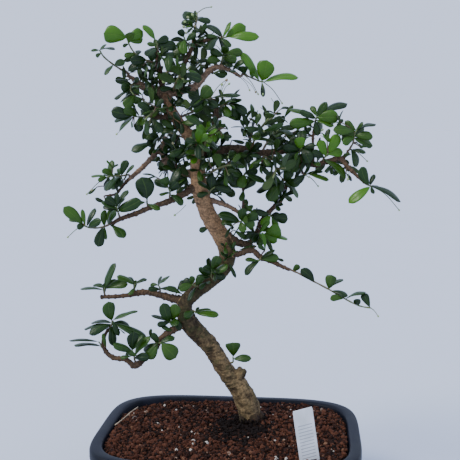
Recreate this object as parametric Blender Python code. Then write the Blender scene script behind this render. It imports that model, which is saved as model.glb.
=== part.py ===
"""Fukien tea bonsai standing in a filled training pot. Metres, +Z up.

The origin is the middle of the pot's flat underside and -Y is the tree's front. Limbs and shoots are drawn
on a board in front of the eye: x mm from its left edge, y mm down from its top edge, and a depth in mm
behind the trunk's foot. seen() carries a board point along the line of sight to that depth.
"""

import math
import random

import bmesh
import bpy
from mathutils import Vector
from mathutils.bvhtree import BVHTree

MM = 0.001
SEED = 20

# Drawing board
EYE = Vector((78.0, -814.0, 381.0))
HEADING = Vector((-0.0941, 0.99556, 0.0))
PITCH = math.radians(7.4)
BOARD_DISTANCE = 850.0
BOARD_MIDDLE = 230.0
FOOT = Vector((27.0, 31.0, 74.0))

# Pot and soil
RIM_HALF_X = 130.0
RIM_HALF_Y = 101.0
CORNER_POWER = 4.4
POT_SIDES = 36
POT_PROFILE = (
    (22.0, 0.0), (19.5, 2.0), (9.0, 62.5), (0.0, 65.0), (0.0, 72.5), (1.6, 75.0),
    (9.0, 75.0), (11.4, 72.5), (23.0, 6.5), (26.0, 4.5),
)
DRAIN_X = 62.0
DRAIN_RADIUS = 9.0
SOIL_EDGE_Z = 70.5
SOIL_BOTTOM_Z = 5.0
SOIL_RINGS = (1.0, 0.88, 0.7, 0.48, 0.24)
GAP = 0.3
STEM_SIDES = 3
STEM_RADIUS = 1.3
FORK_RADIUS = 1.1

# Label
LABEL_FOOT = Vector((88.0, -71.0, 30.0))
LABEL_SIZE = (19.0, 0.9, 93.0)
LABEL_LEAN = math.radians(-9.0)
LABEL_TURN = math.radians(22.0)

# Wood: board x, board y, depth, radius
TRUNK = (
    (252, 424, 0, 10.8), (250, 413, 0, 11.2), (247, 403, 0, 11.6), (243, 394, 0, 11.4), (237, 384, 0, 10.3),
    (229, 375, 0, 9.6), (219.5, 361, -2, 9.1), (211.5, 347, -3, 8.9), (201, 336, -4, 9.2), (192, 327, -5, 9.5),
    (186, 316, -5, 8.9), (185, 306, -4, 7.6), (189, 298, -2, 7.6), (197, 290, 1, 7.8), (209, 281.5, 4, 7.8),
    (220.5, 271.5, 7, 8.0), (227, 260, 9, 8.4), (226, 246, 9, 8.7), (219, 232, 7, 8.9), (209, 216, 5, 8.6),
    (204, 203, 3, 8.2), (199, 186, 0, 7.9), (197.5, 167, -1, 7.4), (196, 152, -2, 6.8), (190, 138, -3, 6.1),
    (182, 127, -4, 5.8), (174, 115, -4, 5.4), (169, 105, -3, 5.0), (165, 96, -2, 4.4), (162, 88, 0, 3.4),
)
LIMBS = {
    "stub": ((234, 379, 0, 6.0), (239, 376, -2, 5.9), (243, 373, -3, 4.6), (246, 370.5, -4, 2.2)),
    "stub_horn": ((237, 374, -2, 3.4), (239, 370, -3, 3.0), (240, 367, -4, 1.8)),
    "low_drop": (
        (187, 322, -5, 4.4), (178, 327, -10, 3.9), (168, 333, -16, 3.4), (160, 340, -20, 3.2),
        (154, 350, -23, 3.0), (144, 359, -25, 2.9), (135, 366, -25, 3.1), (126, 359.5, -23, 2.6),
        (115, 358, -21, 2.5), (107, 353, -18, 2.4), (103, 343, -16, 2.0), (106, 333, -14, 1.7),
        (111, 327, -13, 1.4),
    ),
    "low_flat": (
        (187, 301, -4, 5.0), (175, 299, 2, 4.2), (162, 295.5, 8, 3.5), (149, 292.5, 12, 3.0),
        (140, 292.5, 15, 3.3), (129, 295, 17, 2.4), (116, 296.5, 20, 2.2), (101, 297, 24, 2.1),
    ),
    "mid_left": (
        (200, 183, 0, 4.2), (189, 191, -6, 3.5), (178, 197, -12, 3.2), (167, 202, -16, 3.0),
        (149, 208, -22, 2.6), (136, 213.5, -26, 2.5), (120, 219, -30, 2.2), (112, 224, -32, 1.9),
    ),
    "upper_left": (
        (199, 174, 0, 4.6), (185, 173, 7, 4.2), (173, 168, 11, 4.3), (166, 160, 12, 4.3),
        (163, 149, 12, 3.6), (166, 137, 11, 2.2),
    ),
    "upper_left_fork": (
        (163, 152, 12, 2.8), (157, 152, 11, 2.7), (152, 157.5, 9, 2.6), (142.5, 167.5, 6, 2.6),
        (134, 175, 3, 2.4), (127, 181, 1, 1.9),
    ),
    "fork_twig": ((128, 180, 1, 1.8), (121, 188, -2, 1.5), (116, 194, -4, 1.4), (104, 196, -6, 1.0)),
    "middle_left": ((176, 117, -4, 3.2), (161, 117, -8, 2.4), (151, 117, -11, 1.8)),
    "right_low": (
        (228, 254, 8, 3.8), (239, 254, 3, 3.0), (247, 251, -1, 2.8), (254, 251, -4, 2.8),
        (260, 257, -7, 2.9), (269, 260, -10, 2.7), (280, 265.5, -14, 2.1), (290, 270, -18, 1.8),
    ),
    "right_mid": (
        (227, 236, 8, 5.0), (239, 243, 11, 3.8), (249, 243, 13, 3.0), (256, 235, 15, 2.7),
        (262, 220, 18, 2.5), (274, 207, 20, 2.4), (283, 197, 22, 2.2), (287, 183, 24, 1.8),
    ),
    "right_twig": ((211, 200, 3, 2.8), (228, 206, -2, 2.2), (238, 212, -6, 2.0), (244, 217, -8, 1.5)),
    "upright_twig": (
        (242, 216, -7, 1.4), (243, 205, -7, 1.3), (243, 188, -6, 1.2), (241, 181, -5, 1.1),
    ),
    "crown_right": (
        (198, 157, -2, 5.2), (213, 151, 3, 4.5), (229, 149, 6, 4.2), (243, 149, 8, 3.9),
        (256, 153, 9, 3.5), (272, 152, 9, 3.3), (288, 151, 8, 3.1), (301, 158, 6, 2.9),
        (314, 165, 4, 2.8), (325, 162, 2, 2.7), (340, 159, 0, 2.6), (347, 166, -4, 2.3),
        (355, 174, -8, 1.8), (365, 183, -12, 1.4),
    ),
    "crown_right_up": ((340, 160, -1, 2.4), (345, 156, -1, 2.0), (349, 152, -2, 1.6)),
    "crown_right_mid": (
        (313, 164, 4, 1.9), (313, 150, 6, 1.5), (313, 136, 8, 1.4), (315, 124, 10, 1.2),
    ),
    "crown_right_low": ((299, 156, 6, 1.9), (301, 168, 4, 1.5), (303, 174, 2, 1.1)),
    "crown_inner": (
        (200, 151, -2, 4.2), (213, 132, -8, 3.1), (216, 119, -12, 2.7), (216, 107, -16, 2.2),
        (213, 99, -18, 1.7),
    ),
    "top_right": (
        (166, 95, -1, 4.4), (178, 91, 2, 4.1), (193, 88, 4, 3.7), (203, 78, 6, 3.1), (210, 70, 8, 2.9),
        (220, 67, 9, 2.6), (231, 71, 10, 1.9), (241, 77, 11, 1.6),
    ),
    "top": (
        (174, 92, 2, 3.8), (181, 77, 6, 2.9), (185, 62, 8, 2.5), (192, 48, 10, 2.2), (194, 36, 11, 1.8),
        (196, 26, 12, 1.3),
    ),
    "top_fork": ((192, 44, 10, 2.4), (204, 41, 12, 2.3), (216, 38, 14, 1.7)),
    "top_left": (
        (165, 94, -1, 4.6), (153, 90, 0, 3.8), (143, 87, -1, 3.6), (135, 80, -4, 2.4),
        (127, 75, -7, 1.7),
    ),
    "top_middle": ((163, 93, 0, 3.6), (161, 77, -5, 2.7), (158, 62, -9, 2.4), (157, 50, -12, 1.8)),
}
THIN_LIMB = 2.7
# Surface roots: heading in degrees, reach, radius
ROOTS = ((355, 17, 5.5), (80, 14, 5.5), (165, 12, 5.5), (225, 14, 5.0), (300, 16, 5.5))

# Shoots: stem points (board x, board y, depth), then leaves (place along the stem 0 to 1, tip's board x and
# y, tip's depth beyond the stem's, width as it looks), then how many more leaves the rule adds
SPRAYS = {
    "spray_left_tip": (
        (((126, 74, -8), (114, 65, -12), (104, 57, -16), (99.5, 50, -20)),),
        (
            (1, 91, 51, -5, 3), (0.98, 106, 44, 6, 3), (1, 115, 49.5, -7, 3), (0.9, 96, 57, 5, 4),
            (0.42, 125, 62, -8, 7), (0.45, 105, 75, -9, 4),
        ),
        0,
    ),
    "spray_left_low": (
        (((135, 82, -5), (131, 86, -10), (131, 91, -14), (134, 95, -16)),),
        (
            (0.2, 115, 80, -6, 6), (0.4, 121, 88, -8, 9), (0.6, 114, 99, -2, 3), (1, 124, 107, -6, 10),
            (1, 139, 104, 4, 8),
        ),
        4,
    ),
    "spray_bright_left": (
        (
            (
                (157, 62, -10), (148, 61, -15), (139, 57, -18), (133, 51, -20), (129, 44, -21),
                (127, 38, -22),
            ),
        ),
        (
            (1, 103.5, 33.5, -5, 17), (0.97, 143, 31, 5, 11), (0.92, 143, 39, 9, 8), (0.85, 123, 47, -6, 3),
            (0.55, 124, 56, -8, 5), (0.25, 130, 61, -12, 10), (0.5, 139, 50, 8, 6),
            (0.35, 128, 71, -4, 6), (0.1, 152, 52, -9, 9),
        ),
        3,
    ),
    "spray_top_middle": (
        (((157, 49, -12), (157, 45, -13), (156, 41, -14)),),
        (
            (1, 143, 25, -4, 6), (0.8, 169, 38, 6, 8), (0.3, 177, 46, 9, 10), (0.6, 147, 44, -7, 4),
            (0.15, 146, 56, -8, 8), (0.1, 170, 56, 6, 8),
        ),
        1,
    ),
    "spray_top": (
        (((196, 25, 12), (197, 18, 12), (197, 13, 12)),),
        (
            (0.7, 186, 15, -5, 7), (0.3, 181, 24, -8, 5), (0.4, 211, 21, 6, 6), (1, 211, 7, 2, 2.5),
            (0.6, 188, 24, 8, 5), (0.9, 194, 11, 3, 3),
        ),
        2,
    ),
    "spray_top_side": (
        (((192, 46, 10), (186, 42, 2), (184, 37, -2)),),
        (
            (1, 179, 30, -6, 7), (0.4, 176, 46, -6, 6), (0.8, 183, 54, -9, 9), (0.6, 196, 33, -4, 6),
            (0.2, 172, 58, -9, 9),
        ),
        1,
    ),
    "spray_bright_right": (
        (((215, 37, 14), (221, 38, 14), (227, 37, 14)),),
        (
            (0.8, 246, 26, 4, 13), (1, 259.5, 37, -6, 8.5), (0.6, 206, 25, 5, 6), (0.4, 231, 47, -5, 5),
            (0.3, 207, 50, -8, 6), (0.2, 224, 50, 8, 5),
        ),
        1,
    ),
    "spray_top_right_up": (
        (((220, 66, 9), (222, 60, 6), (224, 54, 4)),),
        (
            (1, 243, 52, 2, 9), (0.6, 237, 60, -5, 9), (0.8, 210, 50, -3, 8), (0.1, 233, 66, -9, 5),
            (0.3, 207, 60, -8, 8), (0.9, 226, 46, -9, 8),
        ),
        3,
    ),
    "spray_top_right_tip": (
        (((241, 77, 11), (252, 78, 12), (259, 81, 11), (264, 82, 10)),),
        (
            (0.9, 267, 60, -5, 18), (1, 298.5, 77.5, -4, 7), (0.8, 241, 52, -3, 8),
            (0.97, 282, 103, 2, 2.2), (0.9, 263, 97, -5, 4), (0.12, 243, 66, -7, 10),
            (0.3, 231, 65, -4, 4), (0.1, 258, 94, -8, 2.2), (0.5, 252, 67, -8, 6),
        ),
        0,
    ),
    "spray_inner_top": (
        (((213, 99, -18), (207, 99, -23), (200, 99, -26)),),
        (
            (1, 211, 87, -6, 13), (0.1, 241, 95, -4, 5), (0.6, 190, 106, -5, 8), (0.2, 226, 80, 4, 2.2),
            (0.8, 188, 93, 3, 9), (0.5, 218, 107, -6, 8),
        ),
        6,
    ),
    "spray_inner_right": (
        (((216, 109, -15), (224, 105, -16), (232, 104, -17)),),
        (
            (1, 247, 114, -5, 8), (0.7, 242, 100, -8, 4), (1, 239, 121, 5, 9), (0.5, 229, 117, -7, 9),
        ),
        4,
    ),
    "spray_left_mid": (
        (
            ((151, 117, -11), (145, 117, -13), (139, 117, -14), (134, 116, -16)),
            ((151, 117, -11), (149, 124, -17), (149, 129, -20)),
        ),
        (
            (1, 111, 111, -4, 12), (1, 114, 121, 4, 5), (0.95, 119, 131, -4, 3), (0.6, 151, 101, -4, 3),
            (0.8, 124, 108, -8, 9), (0.5, 138, 132, -6, 9), (0.45, 138, 125, -5, 6),
            (0.3, 157, 106, 6, 8),
        ),
        5,
    ),
    "spray_left_inner": (
        (((166, 136, 11), (160, 138, 7), (154, 143, 4)),),
        (
            (1, 131, 151, -4, 7), (0.8, 147, 144, -7, 8), (0.4, 150, 134, -5, 7),
            (0.2, 174, 146, -8, 8),
        ),
        4,
    ),
    "spray_fork_tip": (
        (
            ((131, 176, 3), (121, 176, -4), (112, 176, -7), (107, 177, -8)),
            ((121, 176, -4), (114, 182, -10), (108, 187, -12)),
        ),
        (
            (0.4, 127, 160, -4, 8), (0.9, 112, 160, 4, 6), (0.2, 134, 165, -6, 3), (1, 91, 176, 2, 3),
            (1, 98, 181, -6, 5), (0.9, 105, 188, 5, 6), (0.6, 120, 187, -7, 7), (0.7, 102, 170, -8, 6),
            (0.5, 120, 168, 9, 6), (0.8, 87, 194, -4, 2.2), (0.7, 112, 190, 6, 7), (0.4, 106, 191, -9, 7),
        ),
        1,
    ),
    "spray_mid_left_inner": (
        (((120, 218, -30), (118, 212, -33), (116, 206, -35)),),
        (
            (1, 105, 198, -4, 9), (0.9, 128, 190, 4, 4), (0.5, 141, 200, -4, 11),
            (0.8, 117, 193, -8, 6), (0.4, 103, 206, 5, 6), (0.7, 101, 202, -9, 6),
        ),
        1,
    ),
    "spray_mid_left_big": (
        (((148, 206, -22), (147, 202, -24), (147, 199, -26)),),
        (
            (1, 141.5, 177, -4, 18), (0.5, 118, 209, -10, 9), (0.2, 160, 210, -8, 5),
        ),
        0,
    ),
    "spray_mid_left_upper": (
        (((170, 198, -16), (170, 192, -20), (168, 187, -22)),),
        (
            (1, 163, 178, -6, 10), (0.8, 178, 182, -5, 9), (0.5, 159, 195, -5, 3),
            (0.9, 154, 180, 4, 8), (0.3, 183, 205, -6, 7), (0.5, 187, 177, 6, 9), (0.7, 180, 168, 4, 9),
        ),
        1,
    ),
    "spray_mid_left_tip": (
        (((112, 223, -32), (103, 227, -35), (95, 228, -37), (87, 227, -39), (83, 224, -40)),),
        (
            (0.97, 63.5, 207, -4, 11), (1, 69, 219, 4, 4), (0.85, 95, 208, 5, 4), (0.8, 101, 220, -8, 8),
            (0.95, 77, 228, -6, 6), (0.9, 68, 237, 4, 2.2), (0.3, 98, 247, -6, 10),
            (0.06, 124, 238, -5, 7), (0.25, 104, 210, -8, 7), (0.1, 116, 211, -9, 6),
        ),
        0,
    ),
    "spray_low_flat_tip": (
        (((104, 293, 24), (104, 290, 22), (105, 288, 21)),),
        (
            (0.9, 115.5, 263, -4, 8), (0.6, 80, 289, -4, 3.5), (0.8, 128, 284, -6, 9), (1, 93, 285, 5, 5),
        ),
        1,
    ),
    "spray_low_flat_mid": (
        (((135, 291, 15), (134, 287, 13), (135, 284, 12)),),
        (
            (0.9, 117, 276, -4, 6), (1, 147, 279, 4, 4), (0.4, 129, 295, -9, 4), (1, 128, 277, 9, 5),
        ),
        0,
    ),
    "spray_low_flat_root": (
        (((163, 292, 8), (160, 288, 5), (158, 285, 4)),),
        (
            (1, 170, 276, -3, 3), (0.5, 177, 289, -8, 5), (1, 150, 285, 4, 4), (0.8, 161, 276, 8, 3),
            (0.4, 148, 289, -8, 5),
        ),
        0,
    ),
    "spray_low_drop_mid": (
        (((136, 362, -25), (134, 356, -32), (132, 350, -33)),),
        (
            (1, 134, 332, -4, 11), (1, 113, 344, -5, 8), (0.5, 150, 336, 4, 8), (1, 143, 335, -9, 6),
            (0.4, 149, 357, -6, 9),
        ),
        0,
    ),
    "spray_low_drop_near": (
        (((156, 345, -21), (158, 343, -26), (161, 343, -29)),),
        (
            (1, 176, 358, -3, 16), (0.4, 147, 359, -6, 11), (0.6, 143, 350, 4, 7),
            (0.5, 152, 333, -6, 6),
        ),
        1,
    ),
    "spray_low_drop_tip": (
        (((111, 327, -13), (112, 324, -14), (112, 321, -15)),),
        (
            (1, 108.5, 301.5, -3, 13), (1, 138, 311, 4, 5), (0.6, 91, 323, 4, 4), (0.4, 84, 329, -5, 4),
            (0.3, 89, 334, -9, 9), (0.6, 147, 338, -8, 9), (0.2, 113, 346, -9, 8), (0.7, 130, 327, 7, 7),
        ),
        0,
    ),
    "spray_low_drop_side": (
        (((104, 348, -17), (101, 345, -21), (99, 342, -24)),),
        (
            (1, 69, 340.5, -3, 3.4), (0.3, 74, 345, 4, 3.6),
        ),
        0,
    ),
    "spray_trunk_left": (
        (((179, 315, -8), (172, 320, -14), (169, 323, -17)),),
        (
            (1, 163, 303, -4, 12), (0.7, 176, 304, -6, 11), (1, 157, 325, -4, 6),
            (0.4, 180, 330, -8, 7),
        ),
        3,
    ),
    "spray_trunk_right": (
        (((192, 311, -8), (196, 313, -12)),),
        (
            (1, 219, 315, -3, 7), (0.4, 184, 317, -10, 8), (0.8, 199, 307, 4, 3),
        ),
        1,
    ),
    "spray_trunk_moss": (
        (((213, 280, -1), (211, 276, -6), (212, 271, -8)),),
        (
            (0.3, 196, 277, -5, 6), (0.8, 203, 267, -6, 9), (1, 219, 256, -5, 10),
            (0.6, 228, 265, -6, 8), (0.2, 226, 277, -4, 7), (0.1, 237, 278, -4, 3),
        ),
        3,
    ),
    "spray_trunk_moss_low": (
        (((200, 288, 0), (196, 286, -11), (192, 284, -14)),),
        (
            (1, 192, 276, -4, 6), (0.9, 179, 290, -5, 8), (0.5, 202, 276, -8, 8), (0.95, 183, 280, 3, 8),
        ),
        1,
    ),
    "spray_foot": (
        (((233, 368, -6), (233, 362, -9), (233, 357, -10)),),
        (
            (1, 232.5, 342.5, -4, 15.5), (0.8, 251.5, 358.5, -4, 8),
        ),
        0,
    ),
    "spray_right_low_near": (
        (((262, 256, -8), (260, 260, -12), (258, 261, -14)),),
        (
            (0.9, 245, 275, -3, 6), (1, 245, 259, 4, 5), (0.2, 275, 250, -8, 5), (0.1, 279, 258, -9, 9),
            (0.4, 250, 268, 4, 6),
        ),
        0,
    ),
    "spray_right_low": (
        (
            (
                (289, 269, -18), (300, 274, -22), (313, 281, -28), (330, 290, -34), (347, 300, -40),
                (360, 306, -45), (371, 308, -48),
            ),
        ),
        (
            (0.03, 299, 265, -6, 6), (0.31, 301, 269, -5, 9.5), (0.49, 332, 275, -4, 11),
            (0.48, 343, 279, 8, 4), (0.52, 348, 296, -8, 4), (0.68, 330, 299, -6, 6),
            (0.7, 366, 292, -4, 4), (0.86, 356, 299, -6, 7), (0.99, 363, 293, 5, 8),
            (1, 378, 316, -3, 2.5),
        ),
        0,
    ),
    "spray_right_mid": (
        (((257, 233, 15), (260, 234, 9), (264, 234, 6)),),
        (
            (1, 281, 230, -5, 16), (0.9, 277, 242, -3, 9), (0.8, 288, 239, 5, 5),
            (0.4, 260, 246, -7, 8), (0.3, 246, 236, -8, 8),
        ),
        3,
    ),
    "spray_right_mid_upper": (
        (((268, 212, 19), (270, 215, 14), (272, 217, 12)),),
        (
            (1, 288, 219, -3, 11), (0.6, 262, 226, -7, 9), (0.4, 256, 211, -8, 7),
            (0.9, 277, 228, 5, 7),
        ),
        0,
    ),
    "spray_right_twig": (
        (((244, 217, -8), (242, 221, -12), (239, 222, -15)),),
        (
            (0.8, 218, 214, -3, 9), (1, 221, 223, 4, 7), (0.3, 258, 214, -5, 9), (0.5, 243, 208, -8, 9),
            (0.2, 255, 226, 3, 9), (0.7, 244, 232, -6, 8),
        ),
        3,
    ),
    "spray_upright": (
        (((241, 181, -5), (243, 176, -7), (246, 174, -8)),),
        (
            (0.4, 228, 183, -4, 10), (0.8, 241, 188, -6, 10), (1, 265, 182, -3, 7),
            (0.9, 258, 170, 5, 8), (0.6, 232, 171, 6, 8),
        ),
        4,
    ),
    "spray_trunk_side": (
        (((206, 195, -4), (211, 190, -10), (215, 187, -13)),),
        (
            (1, 232, 191, -3, 9), (0.6, 211, 175, -5, 10), (0.8, 226, 178, 6, 8),
            (0.3, 197, 196, -5, 6),
        ),
        3,
    ),
    "spray_right_mid_tip": (
        (((287, 183, 24), (284, 181, 17), (281, 183, 12)),),
        (
            (1, 268, 201, -4, 13), (0.8, 256, 192, 3, 7), (0.4, 298, 198, -4, 6),
            (0.3, 300, 184, -5, 9), (0.9, 268, 176, -4, 10), (0.6, 291, 169, -4, 11),
        ),
        2,
    ),
    "spray_crown_right_a": (
        (((298, 156, 6), (300, 151, 0), (302, 148, -3)),),
        (
            (0.8, 299.5, 137, -5, 11), (1, 310, 163, -8, 12), (0.4, 287, 160, -8, 9),
            (0.9, 290, 138, 4, 10), (0.2, 292, 173, 3, 11), (0.5, 280, 167, -9, 9), (0.6, 283, 148, -4, 9),
            (1, 303, 130, 9, 10),
        ),
        3,
    ),
    "spray_crown_right_b": (
        (((303, 174, 2), (305, 175, 0), (307, 174, -2)),),
        (
            (1, 329, 180, -4, 4), (0.8, 323, 171, 4, 4.5), (0.5, 294, 183, -6, 8),
            (0.4, 318, 186, 8, 2.2),
        ),
        1,
    ),
    "spray_crown_right_c": (
        (((323, 162, 2), (325, 157, -3), (328, 153, -5)),),
        (
            (1, 338, 134, -4, 11), (0.6, 320, 140, -5, 9), (0.8, 343, 152, 5, 9),
            (0.1, 346, 178.5, -6, 7), (0.4, 312, 152, -8, 8),
        ),
        2,
    ),
    "spray_crown_right_d": (
        (((315, 124, 10), (316, 119, 8), (317, 116, 7)),),
        (
            (1, 327, 102, -3, 8), (1, 347.5, 103.5, 4, 6), (0.8, 339, 117, -6, 14), (0.4, 334, 126, -8, 6),
            (0.9, 311, 106, 5, 6), (0.6, 289, 109, 4, 5), (0.7, 300, 111, -6, 6),
            (0.3, 289, 124, -5, 11), (0.2, 322, 131, 6, 7),
        ),
        1,
    ),
    "spray_crown_right_e": (
        (((349, 152, -2), (353, 143, -4), (354, 137, -5), (355, 133, -6), (357, 130, -8)),),
        (
            (0.7, 373, 137, -4, 9), (0.6, 373, 146, 5, 8), (1, 376, 124, 3, 4), (0.9, 333, 130, -5, 9),
            (0.95, 345, 121, 5, 7), (0.7, 343, 144, -8, 8), (1, 363, 122, -4, 3),
            (0.08, 367, 161, -3, 2.4), (0.05, 366, 153, -8, 3), (0.8, 341, 135, -9, 9),
            (0.15, 357, 167, 5, 8), (0.5, 341, 139, 7, 8),
        ),
        1,
    ),
    "spray_crown_right_tip": (
        (((365, 183, -12), (368, 185, -13), (371, 186, -14)),),
        (
            (1, 348.5, 203, -4, 10), (1, 401, 202, -3, 6), (0.7, 361, 167, -5, 10), (0.9, 383, 190, 5, 4),
            (1, 399, 210, 6, 2.2), (0.8, 374, 174, 5, 5),
        ),
        0,
    ),
}
# Forked shoots that reach forward and back from the trunk and limbs: points, and the leaves on each
CLUSTERS = {
    "spray_front_mid": (((200, 163, -2), (203, 150, -19), (206, 140, -31), (203, 128, -41)), 14),
    "spray_front_low": (((202, 177, 0), (213, 171, -16), (225, 166, -26), (237, 165, -33)), 13),
    "spray_front_crown": (((170, 107, -3), (160, 109, -18), (152, 113, -27), (145, 120, -33)), 12),
    "spray_front_top": (((173, 93, 0), (175, 85, -18), (179, 77, -28), (186, 68, -35)), 14),
    "spray_front_inner": (((250, 151, 8), (255, 139, -9), (261, 128, -20), (269, 118, -30)), 15),
    "spray_front_right": (((272, 152, 9), (274, 161, -8), (276, 169, -21), (273, 178, -31)), 13),
    "spray_back_crown": (((177, 119, -4), (190, 113, 17), (202, 109, 33), (214, 105, 45)), 13),
    "spray_back_left": (((191, 139, -3), (179, 136, 14), (169, 132, 28), (160, 124, 41)), 12),
    "spray_back_top": (((180, 80, 5), (190, 73, 21), (200, 65, 33), (206, 55, 43)), 12),
    "spray_back_right": (((262, 153, 9), (268, 141, 25), (275, 131, 40), (284, 121, 53)), 15),
    "spray_back_inner": (((243, 149, 8), (240, 156, 22), (236, 163, 36), (230, 170, 48)), 12),
    "spray_back_mid": (((206, 204, 3), (210, 193, 20), (214, 182, 36), (220, 172, 50)), 12),
}

GOLDEN_TURN = math.radians(137.5)
# Leaf outline: place along the blade and half width there, as parts of its length and width
LEAF_OUTLINE = ((0.36, 0.33), (0.7, 0.5), (1.0, 0.17))
LEAF_THICK = 1.4
LEAF_SUNK = 0.1
NARROW = 2.6
# Shifts in depth tried for a drawn leaf, and turns tried for a ruled one
DEPTH_TRIES = (0, 3, -3, 6, -6, 9, -9, 12, -12, 16, -16, 20, -20)
RULED_TRIES = 16
# Leaves of one shoot may cross each other up to this part of their length
OWN_START = 0.11
OWN_CLEAR = 0.1
CROWN_AXIS = Vector((-20.0, 28.0, 0.0))


def seen(x, y, depth):
    """Row-frame point, in mm, that a board point stands for at a depth behind the trunk's foot."""
    right = Vector((HEADING.y, -HEADING.x, 0.0))
    ahead = HEADING * math.cos(PITCH) - Vector((0, 0, math.sin(PITCH)))
    above = HEADING * math.sin(PITCH) + Vector((0, 0, math.cos(PITCH)))
    line = ahead * BOARD_DISTANCE + right * (x - BOARD_MIDDLE) + above * (BOARD_MIDDLE - y)
    return EYE + line * (((FOOT - EYE).dot(HEADING) + depth) / line.dot(HEADING))


def smooth_path(points, steps):
    """Catmull-Rom curve through rows of numbers, with the rows kept."""
    rows = [Vector(point) for point in points]
    rows = [rows[0] * 2 - rows[1]] + rows + [rows[-1] * 2 - rows[-2]]
    found = []
    for i in range(1, len(rows) - 2):
        for step in range(steps):
            t = step / steps
            a, b, c, d = rows[i - 1:i + 3]
            bend = (a * 2 - b * 5 + c * 4 - d) * t ** 2 + (b * 3 - a - c * 3 + d) * t ** 3
            found.append((b * 2 + (c - a) * t + bend) / 2)
    return found + [rows[-2]]


def wood_path(rows, steps):
    """Centre points and radii of a piece of wood."""
    found = []
    for row in smooth_path([Vector((*seen(*row[:3]), row[3])) for row in rows], steps):
        found.append((Vector(row[:3]), row[3]))
    return found


def trunk_path():
    path = wood_path(TRUNK, 1)
    foot = path[0][0]
    return [(Vector((foot.x + 1.0, foot.y, SOIL_BOTTOM_Z + 38.0)), 11.0)] + path


def root_path(turn, reach, radius):
    """A surface root that leaves the trunk's foot and dives into the soil."""
    out = Vector((math.cos(math.radians(turn)), math.sin(math.radians(turn)), 0.0))
    start = seen(*TRUNK[1][:3])
    start.z = FOOT.z
    path = []
    for far, up, part in ((0.1, 12.0, 1.0), (0.6, 2.0, 1.0), (1.1, -10.0, 0.5)):
        path.append((start + out * reach * far + Vector((0, 0, up)), radius * part))
    return path


def wood_paths():
    """Every limb's centre points and radii, the trunk first."""
    paths = [trunk_path()]
    paths += [wood_path(rows, 1) for rows in LIMBS.values()]
    paths += [root_path(*root) for root in ROOTS]
    return paths


def tube(path, sides, grow=0.0):
    """Closed tube along centre points and radii, as points and faces."""
    centres = [point for point, _ in path]
    points, faces = [], []
    side = None
    for i, (centre, radius) in enumerate(path):
        along = (centres[min(i + 1, len(centres) - 1)] - centres[max(i - 1, 0)]).normalized()
        side = along.orthogonal() if side is None else side - along * side.dot(along)
        side.normalize()
        other = along.cross(side)
        for k in range(sides):
            turn = 2 * math.pi * k / sides
            points.append(centre + (side * math.cos(turn) + other * math.sin(turn)) * (radius + grow))
    for i in range(len(path) - 1):
        for k in range(sides):
            a, b = i * sides + k, i * sides + (k + 1) % sides
            faces.append((a, b, b + sides, a + sides))
    faces.append(tuple(reversed(range(sides))))
    faces.append(tuple(range(len(points) - sides, len(points))))
    return points, faces


def leaf_frame(base, tip, normal):
    along = tip - base
    length = along.length
    along = along / length
    side = along.cross(normal).normalized()
    return along, side, side.cross(along), length


def leaf_solid(leaf, grow=0.0, start=0.0):
    """Spoon-shaped arched blade, from a thin root to a blunt tip and keeled below: points and faces."""
    base, tip, normal, width, bow = leaf
    along, side, face, length = leaf_frame(base, tip, normal)
    points = [base + along * (length * start - LEAF_SUNK)]
    for place, part in LEAF_OUTLINE:
        half = max(width * part, 0.3) + grow
        rise = bow * length * 4 * place * (1 - place) + LEAF_THICK / 2 + grow
        centre = base + along * (length * place + grow * place) + face * rise
        points += [centre - side * half, centre + side * half]
    place = LEAF_OUTLINE[1][0]
    sink = bow * length * 4 * place * (1 - place) - LEAF_THICK / 2 - grow
    points.append(base + along * (length * place) + face * sink)
    faces = [(0, 2, 1), (1, 2, 4, 3), (3, 4, 6, 5), (0, 1, 7), (2, 0, 7)]
    faces += [(1, 3, 7), (4, 2, 7), (3, 5, 7), (6, 4, 7), (5, 6, 7)]
    return points, faces


def tree_of(points, faces):
    middle = sum(points, Vector()) / len(points)
    reach = max((point - middle).length for point in points)
    return BVHTree.FromPolygons(points, faces), middle, reach


def meets(first, second):
    if (first[1] - second[1]).length > first[2] + second[2]:
        return False
    return bool(first[0].overlap(second[0]))


def joined(meshes):
    points, faces = [], []
    for more_points, more_faces in meshes:
        faces += [tuple(len(points) + i for i in face) for face in more_faces]
        points += more_points
    return points, faces


def off_the_wood(points, wood):
    """Stem points whose foot stands clear of the wood and square to it, on the side the stem leaves by."""
    spot, normal, _, _ = wood.ray_cast(points[1], points[0] - points[1], (points[0] - points[1]).length)
    if spot is None or normal.dot((points[1] - spot).normalized()) < 0.5:
        spot, normal, _, _ = wood.find_nearest(points[1])
    return [spot + normal * (GAP + 0.1), spot + normal * 1.8] + points[1:]


def stem_path(points, thick):
    """A stem that thins towards its tip."""
    last = len(points) - 1
    return [(point, thick * (1 - 0.35 * i / last)) for i, point in enumerate(points)]


def fork_path(points):
    """A stem that starts slim enough to lie wholly inside the one it forks from."""
    last = len(points) - 1
    return [(point, FORK_RADIUS * (0.5 + 0.4 * i / last)) for i, point in enumerate(points)]


def along_stem(path, place):
    """Point on a stem and its direction, place 0 to 1 by length."""
    lengths = [(path[i + 1][0] - path[i][0]).length for i in range(len(path) - 1)]
    left = max(min(place, 0.999), 0.0) * sum(lengths)
    for i, length in enumerate(lengths):
        if left <= length:
            step = path[i + 1][0] - path[i][0]
            return path[i][0] + step * (left / length), step.normalized()
        left -= length
    return path[-1][0], (path[-1][0] - path[-2][0]).normalized()


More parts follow.
